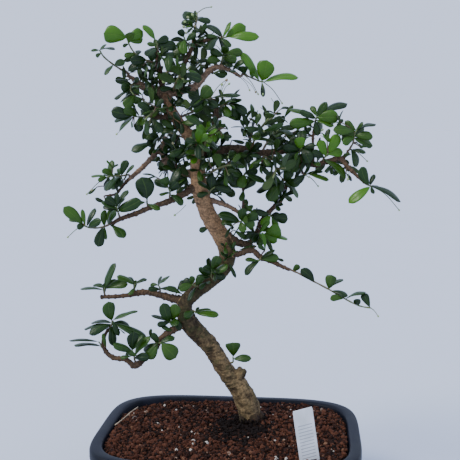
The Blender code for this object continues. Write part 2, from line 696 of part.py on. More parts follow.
def drawn_leaf(path, row, depth, shift):
    """A leaf from a table row, its tip moved in depth by the shift; narrow ones are seen edge on."""
    place, x, y, further, looks = row
    base, _ = along_stem(path, place)
    tip = seen(x, y, depth + further + shift)
    length = (tip - base).length
    narrow = looks <= NARROW
    width = looks if narrow else max(min(0.46 * length, 11.0), looks)
    along = (tip - base).normalized()
    towards = (EYE - base).normalized()
    towards = (towards - along * towards.dot(along)).normalized()
    roll = math.acos(looks / width)
    over = along.cross(towards)
    if over.z < 0:
        over = -over
    return base, tip, towards * math.cos(roll) + over * math.sin(roll), width, 0.04 if narrow else 0.1


def ruled_leaf(path, place, index, draw):
    """A leaf by rule: each a golden turn round from the last, with a seeded random part."""
    base, along = along_stem(path, place)
    side = along.orthogonal().normalized()
    turn = GOLDEN_TURN * index + draw.uniform(-0.7, 0.7)
    out = side * math.cos(turn) + along.cross(side) * math.sin(turn)
    way = (out + along * draw.uniform(0.2, 0.9) + Vector((0, 0, draw.uniform(-0.3, 0.45)))).normalized()
    length = draw.uniform(14.5, 21.0)
    outward = base - CROWN_AXIS
    outward.z = 0
    face = outward.normalized() * 0.5 + Vector([draw.uniform(-0.7, 0.7) for _ in range(3)])
    face.z += 0.6
    face = (face - way * face.dot(way)).normalized()
    return base, base + way * length, face, length * draw.uniform(0.42, 0.5), draw.uniform(0.04, 0.14)


def stem_places(stems, count, draw):
    """Seeded places for a number of leaves, shared out over the stems by their length."""
    lengths = [sum((path[i + 1][0] - path[i][0]).length for i in range(len(path) - 1)) for path in stems]
    found = []
    for index in range(count):
        left = (index + draw.uniform(0.2, 0.8)) / count * sum(lengths)
        for path, length in zip(stems, lengths):
            if left <= length or path is stems[-1]:
                found.append((path, 0.12 + 0.88 * min(left / length, 1.0)))
                break
            left -= length
    return found


def cluster_stems(points, draw):
    """A forked shoot along drawn points."""
    main = [seen(*point) for point in points]
    forks = []
    for k, turn in ((1, 0.5), (2, math.pi - 0.3), (2, -1.1)):
        along = (main[k + 1] - main[k]).normalized()
        side = along.cross(Vector((0, 0, 1))).normalized()
        up = side.cross(along)
        out = side * math.cos(turn) + up * math.sin(turn)
        forks.append([main[k], main[k] + out * (11 + 4 * draw.random()) + along * 7 + Vector((0, 0, 3))])
    return [main] + forks


def grow_leaves(stems, rows, extra, depths, others, draw):
    """One shoot's leaves, each clear of other nodes and of its fellows, and how many found no room."""
    own, leaves = [], []

    def try_leaf(leaf):
        outer = tree_of(*leaf_solid(leaf, OWN_CLEAR, OWN_START))
        whole = tree_of(*leaf_solid(leaf, GAP + 0.05))
        if any(meets(outer, other) for other in own) or any(meets(whole, other) for other in others):
            return False
        own.append(outer)
        leaves.append(leaf)
        return True

    for row in rows:
        depth = depths[0] + (depths[-1] - depths[0]) * row[0]
        any(try_leaf(drawn_leaf(stems[0], row, depth, shift)) for shift in DEPTH_TRIES)
    for index, (path, place) in enumerate(stem_places(stems, extra, draw)):
        any(try_leaf(ruled_leaf(path, place, index, draw)) for _ in range(RULED_TRIES))
    return leaves, len(rows) + extra - len(leaves)


def shoot_plans(surface, draw):
    """Name, stem paths, drawn leaves, number of ruled leaves and depths of every shoot."""
    plans = []
    for name, (stems, rows, extra) in SPRAYS.items():
        drawn = [[seen(*point) for point in stem] for stem in stems]
        drawn[0] = off_the_wood(drawn[0], surface)
        for stem in drawn[1:]:
            stem[0] = drawn[0][2]
        paths = [stem_path(drawn[0], STEM_RADIUS)] + [fork_path(points) for points in drawn[1:]]
        plans.append((name, paths, rows, extra, [point[2] for point in stems[0]]))
    for name, (points, extra) in CLUSTERS.items():
        stems = cluster_stems(points, draw)
        stems[0] = off_the_wood(stems[0], surface)
        paths = [stem_path(stems[0], STEM_RADIUS * 1.25)] + [fork_path(points) for points in stems[1:]]
        plans.append((name, paths, (), extra, [0.0]))
    return plans


def plan_tree():
    """All shoots: name, stem paths and leaves, in the same order and places every time."""
    draw = random.Random(SEED)
    surface = BVHTree.FromPolygons(*joined([tube(path, 16) for path in wood_paths()]))
    wood = tree_of(*joined([tube(path, 12, 0.2) for path in wood_paths()]))
    placed = [wood, tree_of(*joined([soil_grid(GAP), label_box(GAP)]))]
    plans = shoot_plans(surface, draw)
    stem_trees = [tree_of(*joined([tube(path, 6, GAP) for path in paths])) for _, paths, _, _, _ in plans]
    sprays = []
    for index, (name, paths, rows, extra, depths) in enumerate(plans):
        others = stem_trees[:index] + stem_trees[index + 1:]
        bare = tree_of(*joined([tube(path, 6) for path in paths]))
        if any(meets(bare, other) for other in placed[:2] + others):
            print("stem meets another part:", name)
        leaves, left_out = grow_leaves(paths, rows, extra, depths, placed + others, draw)
        placed += [tree_of(*leaf_solid(leaf)) for leaf in leaves]
        sprays.append((name, paths, leaves))
        if left_out:
            print("left out:", name, left_out)
    print("leaves:", sum(len(leaves) for _, _, leaves in sprays), "shoots:", len(sprays))
    return sprays


def ring(half_x, half_y, z, sides, power=CORNER_POWER):
    """Rounded rectangle at a height, corners set by the power."""
    points = []
    for k in range(sides):
        turn = 2 * math.pi * (k + 0.5) / sides
        across, along = math.cos(turn), math.sin(turn)
        far = (abs(across) ** power + abs(along) ** power) ** (-1 / power)
        points.append(Vector((half_x * across * far, half_y * along * far, z)))
    return points


def loft(rings):
    """Closed body through rings of equal count, the first and last capped."""
    sides = len(rings[0])
    points = [point for row in rings for point in row]
    faces = []
    for i in range(len(rings) - 1):
        for k in range(sides):
            a, b = i * sides + k, i * sides + (k + 1) % sides
            faces.append((a, b, b + sides, a + sides))
    faces.append(tuple(reversed(range(sides))))
    faces.append(tuple(range(len(points) - sides, len(points))))
    return points, faces


def pot_half(inset):
    return RIM_HALF_X - inset, RIM_HALF_Y - inset


def soil_height(x, y, draw):
    """Grit's surface: heaped round the trunk, low at the walls and lower in the far left corner."""
    from_trunk = math.hypot(x - FOOT.x, y - FOOT.y)
    corner = math.exp(-((x + 112) ** 2 + (y - 72) ** 2) / 900.0)
    heap = 3.2 * math.exp(-(from_trunk / 60.0) ** 2)
    waves = 0.7 * math.sin(x / 13.0 + 1.0) * math.cos(y / 11.0) + 0.5 * math.sin((x + y) / 7.0)
    return SOIL_EDGE_Z + 1.2 + heap + waves - 3.5 * corner + draw.uniform(-0.7, 0.7)


def soil_grid(grow=0.0):
    """Soil body: walls inside the pot and rings of uneven grit on top."""
    draw = random.Random(SEED + 1)
    rings = []
    for inset, z in ((26.4, SOIL_BOTTOM_Z), (23.3, 7.2)):
        rings.append(ring(*pot_half(inset), z, POT_SIDES))
    half_x, half_y = pot_half(12.2 + GAP)
    for scale in SOIL_RINGS:
        row = ring(half_x * scale, half_y * scale, 0.0, POT_SIDES, 2.0 + 2.4 * scale ** 2)
        for point in row:
            point.z = soil_height(point.x, point.y, draw) + grow
        if scale == 1.0:
            for point in row:
                point.z = SOIL_EDGE_Z - 1.0 + 0.4 * (point.z - SOIL_EDGE_Z)
        rings.append(row)
    middle = sum((point.z for point in rings[-1]), 0.0) / POT_SIDES
    for point in rings[-1]:
        point.z = middle
    return loft(rings)


def label_box(grow=0.0):
    """Label strip, leaning and turned, with a pointed foot."""
    wide, thick, tall = LABEL_SIZE
    up = Vector((math.sin(LABEL_LEAN), 0, math.cos(LABEL_LEAN)))
    across = Vector((math.cos(LABEL_TURN), math.sin(LABEL_TURN), 0))
    across = (across - up * across.dot(up)).normalized()
    back = up.cross(across)
    rings = []
    for low, half in ((0.0, 0.3), (0.18, 0.5), (0.97, 0.5), (1.0, 0.42)):
        centre = LABEL_FOOT + up * (low * (tall + grow) if low else -grow)
        half_wide = across * (wide * half + grow)
        half_thick = back * (thick / 2 + grow)
        rings.append([
            centre - half_wide - half_thick, centre + half_wide - half_thick,
            centre + half_wide + half_thick, centre - half_wide + half_thick,
        ])
    return loft(rings)


def new_object(name, points, faces, collection, material=None):
    mesh = bpy.data.meshes.new(name)
    mesh.from_pydata([point * MM for point in points], [], faces)
    mesh.validate()
    obj = bpy.data.objects.new(name, mesh)
    collection.objects.link(obj)
    if material:
        mesh.materials.append(material)
    return obj


def tube_object(name, path, sides, collection, grow=0.0):
    """A curve with a round bevel and filled caps, turned into a mesh."""
    curve = bpy.data.curves.new(name, "CURVE")
    curve.dimensions = "3D"
    curve.bevel_depth = 1.0
    curve.bevel_resolution = (sides - 4) // 2
    curve.use_fill_caps = True
    spline = curve.splines.new("POLY")
    spline.points.add(len(path) - 1)
    for point, (centre, radius) in zip(spline.points, path):
        point.co = (*(centre * MM), 1.0)
        point.radius = (radius + grow) * MM
    made = bpy.data.objects.new(name + "_curve", curve)
    collection.objects.link(made)
    bpy.context.view_layer.update()
    mesh = bpy.data.meshes.new_from_object(made.evaluated_get(bpy.context.evaluated_depsgraph_get()))
    bpy.data.objects.remove(made)
    weld(mesh)
    obj = bpy.data.objects.new(name, mesh)
    collection.objects.link(obj)
    return obj


def weld(mesh):
    work = bmesh.new()
    work.from_mesh(mesh)
    bmesh.ops.remove_doubles(work, verts=work.verts, dist=1e-6)
    bmesh.ops.recalc_face_normals(work, faces=work.faces)
    work.to_mesh(mesh)
    work.free()


def drop_pockets(mesh):
    """Remove the small closed shells that crossing leaves leave inside a union."""
    work = bmesh.new()
    work.from_mesh(mesh)
    left = set(work.verts)
    shells = []
    while left:
        edge_of = [left.pop()]
        shell = set(edge_of)
        while edge_of:
            for edge in edge_of.pop().link_edges:
                for vert in edge.verts:
                    if vert in left:
                        left.remove(vert)
                        shell.add(vert)
                        edge_of.append(vert)
        shells.append(shell)
    shells.sort(key=len)
    for shell in shells[:-1]:
        bmesh.ops.delete(work, geom=list(shell), context="VERTS")
    work.to_mesh(mesh)
    work.free()


def combine(obj, collection, operation, solver="EXACT"):
    """Boolean with every object of a collection, applied; the collection goes."""
    cut = obj.modifiers.new("combine", "BOOLEAN")
    cut.operation = operation
    cut.operand_type = "COLLECTION"
    cut.collection = collection
    cut.solver = solver
    bpy.context.view_layer.update()
    mesh = bpy.data.meshes.new_from_object(obj.evaluated_get(bpy.context.evaluated_depsgraph_get()))
    obj.modifiers.remove(cut)
    drop_pockets(mesh)
    obj.data = mesh
    for other in list(collection.objects):
        bpy.data.objects.remove(other)
    bpy.data.collections.remove(collection)


def tools_collection(name):
    made = bpy.data.collections.new(name)
    bpy.context.scene.collection.children.link(made)
    return made


def material(name, color, roughness, metallic=0.0):
    made = bpy.data.materials.new(name)
    made.use_nodes = True
    shader = made.node_tree.nodes["Principled BSDF"]
    shader.inputs["Base Color"].default_value = (*color, 1.0)
    shader.inputs["Roughness"].default_value = roughness
    shader.inputs["Metallic"].default_value = metallic
    return made


def set_material(obj, made):
    obj.data.materials.clear()
    obj.data.materials.append(made)


def build_pot(parts):
    rings = [ring(*pot_half(inset), z, POT_SIDES) for inset, z in POT_PROFILE]
    pot = new_object("pot", *loft(rings), parts)
    cutters = tools_collection("drain_holes")
    for x in (-DRAIN_X, DRAIN_X):
        path = [(Vector((x, 0, -5.0)), DRAIN_RADIUS), (Vector((x, 0, 12.0)), DRAIN_RADIUS)]
        tube_object("drain", path, 12, cutters)
    combine(pot, cutters, "DIFFERENCE")
    set_material(pot, material("pot", (0.045, 0.06, 0.085), 0.35))


def build_soil(parts):
    soil = new_object("soil", *soil_grid(), parts)
    cutters = tools_collection("plain_holes")
    tube_object("trunk_hole", trunk_path()[:5], 10, cutters, GAP)
    for root in ROOTS:
        tube_object("root_hole", root_path(*root), 6, cutters, GAP + 0.15)
    new_object("label_hole", *label_box(GAP), cutters)
    combine(soil, cutters, "DIFFERENCE")
    set_material(soil, material("soil", (0.075, 0.035, 0.025), 0.95))


def build_label(parts):
    label = new_object("label", *label_box(), parts)
    set_material(label, material("label", (0.85, 0.85, 0.82), 0.5))


def build_trunk(parts):
    paths = wood_paths()
    trunk = tube_object("trunk", paths[0], 10, parts)
    limbs = tools_collection("limbs")
    for index, path in enumerate(paths[1:]):
        tube_object("limb_%d" % index, path, 6 if path[0][1] > THIN_LIMB else 4, limbs)
    combine(trunk, limbs, "UNION")
    set_material(trunk, material("wood", (0.16, 0.09, 0.055), 0.85))


def build_spray(parts, name, paths, leaves, made):
    spray = new_object(name, *tube(paths[0], STEM_SIDES), parts)
    more = tools_collection("leaves")
    for path in paths[1:]:
        new_object("fork", *tube(path, STEM_SIDES), more)
    for index, leaf in enumerate(leaves):
        new_object("leaf_%d" % index, *leaf_solid(leaf), more)
    combine(spray, more, "UNION", "MANIFOLD")
    set_material(spray, made)


def main():
    for obj in list(bpy.data.objects):
        bpy.data.objects.remove(obj)
    parts = tools_collection("fukien_tea_bonsai")
    build_pot(parts)
    build_soil(parts)
    build_label(parts)
    build_trunk(parts)
    for name, paths, leaves in plan_tree():
        build_spray(parts, name, paths, leaves, material(name, (0.035, 0.10, 0.03), 0.4))


main()
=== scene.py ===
"""Fukien tea bonsai in its training pot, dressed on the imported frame.

Lengths are in mm until a mesh is built in metres. Limbs, shoots and leaves are planned exactly as the
solids were, on a drawing board in front of the eye (see seen()), so every fine piece lies in its own solid.
Bark, soil grains, extra small leaves and buds are added.
"""

import math
import random

import bpy
import numpy as np
from mathutils import Matrix, Vector, noise
from mathutils.bvhtree import BVHTree


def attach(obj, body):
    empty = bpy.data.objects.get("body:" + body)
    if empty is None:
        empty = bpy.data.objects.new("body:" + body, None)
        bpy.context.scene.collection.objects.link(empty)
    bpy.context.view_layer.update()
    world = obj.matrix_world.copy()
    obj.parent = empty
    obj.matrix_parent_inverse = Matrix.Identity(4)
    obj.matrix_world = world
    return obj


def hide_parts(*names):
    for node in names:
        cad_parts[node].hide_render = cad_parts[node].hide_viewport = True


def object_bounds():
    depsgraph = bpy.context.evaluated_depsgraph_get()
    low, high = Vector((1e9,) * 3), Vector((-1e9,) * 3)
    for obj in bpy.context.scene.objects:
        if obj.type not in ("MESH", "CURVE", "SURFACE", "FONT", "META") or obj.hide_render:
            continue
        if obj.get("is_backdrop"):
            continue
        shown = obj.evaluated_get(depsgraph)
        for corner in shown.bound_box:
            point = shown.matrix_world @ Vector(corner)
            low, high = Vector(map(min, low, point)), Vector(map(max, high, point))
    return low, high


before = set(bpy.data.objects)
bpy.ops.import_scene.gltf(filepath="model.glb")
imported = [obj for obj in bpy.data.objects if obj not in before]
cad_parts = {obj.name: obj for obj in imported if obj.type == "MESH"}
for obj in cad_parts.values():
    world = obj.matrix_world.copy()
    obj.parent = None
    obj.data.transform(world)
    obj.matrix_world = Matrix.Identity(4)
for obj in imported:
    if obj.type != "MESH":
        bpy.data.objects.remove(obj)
CAD_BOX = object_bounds()

MM = 0.001
# Seeds of the shoots and the solid soil, which the solids share, and of what the scene adds
SEED = 20
SOIL_SEED = SEED + 1
FINE_SEED = SEED + 7

# Drawing board: where the eye is, how it looks, the board's axes, its distance, and its middle in x and y
EYE = Vector((78.0, -814.0, 381.0))
HEADING = Vector((-0.0941, 0.99556, 0.0))
PITCH = math.radians(7.4)
RIGHT = Vector((HEADING.y, -HEADING.x, 0.0))
AHEAD = HEADING * math.cos(PITCH) - Vector((0, 0, math.sin(PITCH)))
ABOVE = HEADING * math.sin(PITCH) + Vector((0, 0, math.cos(PITCH)))
BOARD_DISTANCE = 850.0
BOARD_MIDDLE = 230.0
# The trunk's foot, from which depths count
FOOT = Vector((27.0, 31.0, 74.0))

# Clear space between nodes
GAP = 0.3

# Pot and soil
RIM_HALF_X = 130.0
RIM_HALF_Y = 101.0
CORNER_POWER = 4.4
POT_SIDES = 36
DRAIN_X = 62.0
DRAIN_RADIUS = 9.0
SOIL_EDGE_Z = 70.5
SOIL_BOTTOM_Z = 5.0
SOIL_RINGS = (1.0, 0.88, 0.7, 0.48, 0.24)
SOIL_INSET = 12.2 + GAP
# Insets and heights of the soil's foot
SOIL_WALL = ((26.4, SOIL_BOTTOM_Z), (23.3, 7.2))
# Heap round the trunk: height and reach; low corner: place, depth and reach
HEAP_HEIGHT, HEAP_REACH = 3.2, 60.0
LOW_CORNER, LOW_DEPTH, LOW_REACH = (-112.0, 72.0), 3.5, 30.0

# Label
LABEL_FOOT = Vector((88.0, -71.0, 30.0))
LABEL_SIZE = (19.0, 0.9, 93.0)
LABEL_LEAN = math.radians(-9.0)
LABEL_TURN = math.radians(22.0)
# Up to this part of its height the label widens from its pointed foot
LABEL_POINT = 0.18

# Wood: board x, board y, depth, radius
TRUNK = (
    (252, 424, 0, 10.8), (250, 413, 0, 11.2), (247, 403, 0, 11.6), (243, 394, 0, 11.4), (237, 384, 0, 10.3),
    (229, 375, 0, 9.6), (219.5, 361, -2, 9.1), (211.5, 347, -3, 8.9), (201, 336, -4, 9.2),
    (192, 327, -5, 9.5), (186, 316, -5, 8.9), (185, 306, -4, 7.6), (189, 298, -2, 7.6), (197, 290, 1, 7.8),
    (209, 281.5, 4, 7.8), (220.5, 271.5, 7, 8.0), (227, 260, 9, 8.4), (226, 246, 9, 8.7),
    (219, 232, 7, 8.9), (209, 216, 5, 8.6), (204, 203, 3, 8.2), (199, 186, 0, 7.9), (197.5, 167, -1, 7.4),
    (196, 152, -2, 6.8), (190, 138, -3, 6.1), (182, 127, -4, 5.8), (174, 115, -4, 5.4), (169, 105, -3, 5.0),
    (165, 96, -2, 4.4), (162, 88, 0, 3.4),
)
LIMBS = {
    "stub": ((234, 379, 0, 6.0), (239, 376, -2, 5.9), (243, 373, -3, 4.6), (246, 370.5, -4, 2.2)),
    "stub_horn": ((237, 374, -2, 3.4), (239, 370, -3, 3.0), (240, 367, -4, 1.8)),
    "low_drop": ((187, 322, -5, 4.4), (178, 327, -10, 3.9), (168, 333, -16, 3.4), (160, 340, -20, 3.2),
        (154, 350, -23, 3.0), (144, 359, -25, 2.9), (135, 366, -25, 3.1), (126, 359.5, -23, 2.6),
        (115, 358, -21, 2.5), (107, 353, -18, 2.4), (103, 343, -16, 2.0), (106, 333, -14, 1.7),
        (111, 327, -13, 1.4)),
    "low_flat": ((187, 301, -4, 5.0), (175, 299, 2, 4.2), (162, 295.5, 8, 3.5), (149, 292.5, 12, 3.0),
        (140, 292.5, 15, 3.3), (129, 295, 17, 2.4), (116, 296.5, 20, 2.2), (101, 297, 24, 2.1)),
    "mid_left": ((200, 183, 0, 4.2), (189, 191, -6, 3.5), (178, 197, -12, 3.2), (167, 202, -16, 3.0),
        (149, 208, -22, 2.6), (136, 213.5, -26, 2.5), (120, 219, -30, 2.2), (112, 224, -32, 1.9)),
    "upper_left": ((199, 174, 0, 4.6), (185, 173, 7, 4.2), (173, 168, 11, 4.3), (166, 160, 12, 4.3),
        (163, 149, 12, 3.6), (166, 137, 11, 2.2)),
    "upper_left_fork": ((163, 152, 12, 2.8), (157, 152, 11, 2.7), (152, 157.5, 9, 2.6),
        (142.5, 167.5, 6, 2.6), (134, 175, 3, 2.4), (127, 181, 1, 1.9)),
    "fork_twig": ((128, 180, 1, 1.8), (121, 188, -2, 1.5), (116, 194, -4, 1.4), (104, 196, -6, 1.0)),
    "middle_left": ((176, 117, -4, 3.2), (161, 117, -8, 2.4), (151, 117, -11, 1.8)),
    "right_low": ((228, 254, 8, 3.8), (239, 254, 3, 3.0), (247, 251, -1, 2.8), (254, 251, -4, 2.8),
        (260, 257, -7, 2.9), (269, 260, -10, 2.7), (280, 265.5, -14, 2.1), (290, 270, -18, 1.8)),
    "right_mid": ((227, 236, 8, 5.0), (239, 243, 11, 3.8), (249, 243, 13, 3.0), (256, 235, 15, 2.7),
        (262, 220, 18, 2.5), (274, 207, 20, 2.4), (283, 197, 22, 2.2), (287, 183, 24, 1.8)),
    "right_twig": ((211, 200, 3, 2.8), (228, 206, -2, 2.2), (238, 212, -6, 2.0), (244, 217, -8, 1.5)),
    "upright_twig": ((242, 216, -7, 1.4), (243, 205, -7, 1.3), (243, 188, -6, 1.2), (241, 181, -5, 1.1)),
    "crown_right": ((198, 157, -2, 5.2), (213, 151, 3, 4.5), (229, 149, 6, 4.2), (243, 149, 8, 3.9),
        (256, 153, 9, 3.5), (272, 152, 9, 3.3), (288, 151, 8, 3.1), (301, 158, 6, 2.9), (314, 165, 4, 2.8),
        (325, 162, 2, 2.7), (340, 159, 0, 2.6), (347, 166, -4, 2.3), (355, 174, -8, 1.8),
        (365, 183, -12, 1.4)),
    "crown_right_up": ((340, 160, -1, 2.4), (345, 156, -1, 2.0), (349, 152, -2, 1.6)),
    "crown_right_mid": ((313, 164, 4, 1.9), (313, 150, 6, 1.5), (313, 136, 8, 1.4), (315, 124, 10, 1.2)),
    "crown_right_low": ((299, 156, 6, 1.9), (301, 168, 4, 1.5), (303, 174, 2, 1.1)),
    "crown_inner": ((200, 151, -2, 4.2), (213, 132, -8, 3.1), (216, 119, -12, 2.7), (216, 107, -16, 2.2),
        (213, 99, -18, 1.7)),
    "top_right": ((166, 95, -1, 4.4), (178, 91, 2, 4.1), (193, 88, 4, 3.7), (203, 78, 6, 3.1),
        (210, 70, 8, 2.9), (220, 67, 9, 2.6), (231, 71, 10, 1.9), (241, 77, 11, 1.6)),
    "top": ((174, 92, 2, 3.8), (181, 77, 6, 2.9), (185, 62, 8, 2.5), (192, 48, 10, 2.2), (194, 36, 11, 1.8),
        (196, 26, 12, 1.3)),
    "top_fork": ((192, 44, 10, 2.4), (204, 41, 12, 2.3), (216, 38, 14, 1.7)),
    "top_left": ((165, 94, -1, 4.6), (153, 90, 0, 3.8), (143, 87, -1, 3.6), (135, 80, -4, 2.4),
        (127, 75, -7, 1.7)),
    "top_middle": ((163, 93, 0, 3.6), (161, 77, -5, 2.7), (158, 62, -9, 2.4), (157, 50, -12, 1.8)),
}
# Foot of the trunk in the soil: height over the soil's bottom, and radius
BURIED_UP, BURIED_RADIUS = 38.0, 11.0
# Surface roots: heading in degrees, reach, radius
ROOTS = ((355, 17, 5.5), (80, 14, 5.5), (165, 12, 5.5), (225, 14, 5.0), (300, 16, 5.5))
# Points of a root: part of its reach, height over the soil, part of its radius
ROOT_SHAPE = ((0.1, 12.0, 1.0), (0.6, 2.0, 1.0), (1.1, -10.0, 0.5))

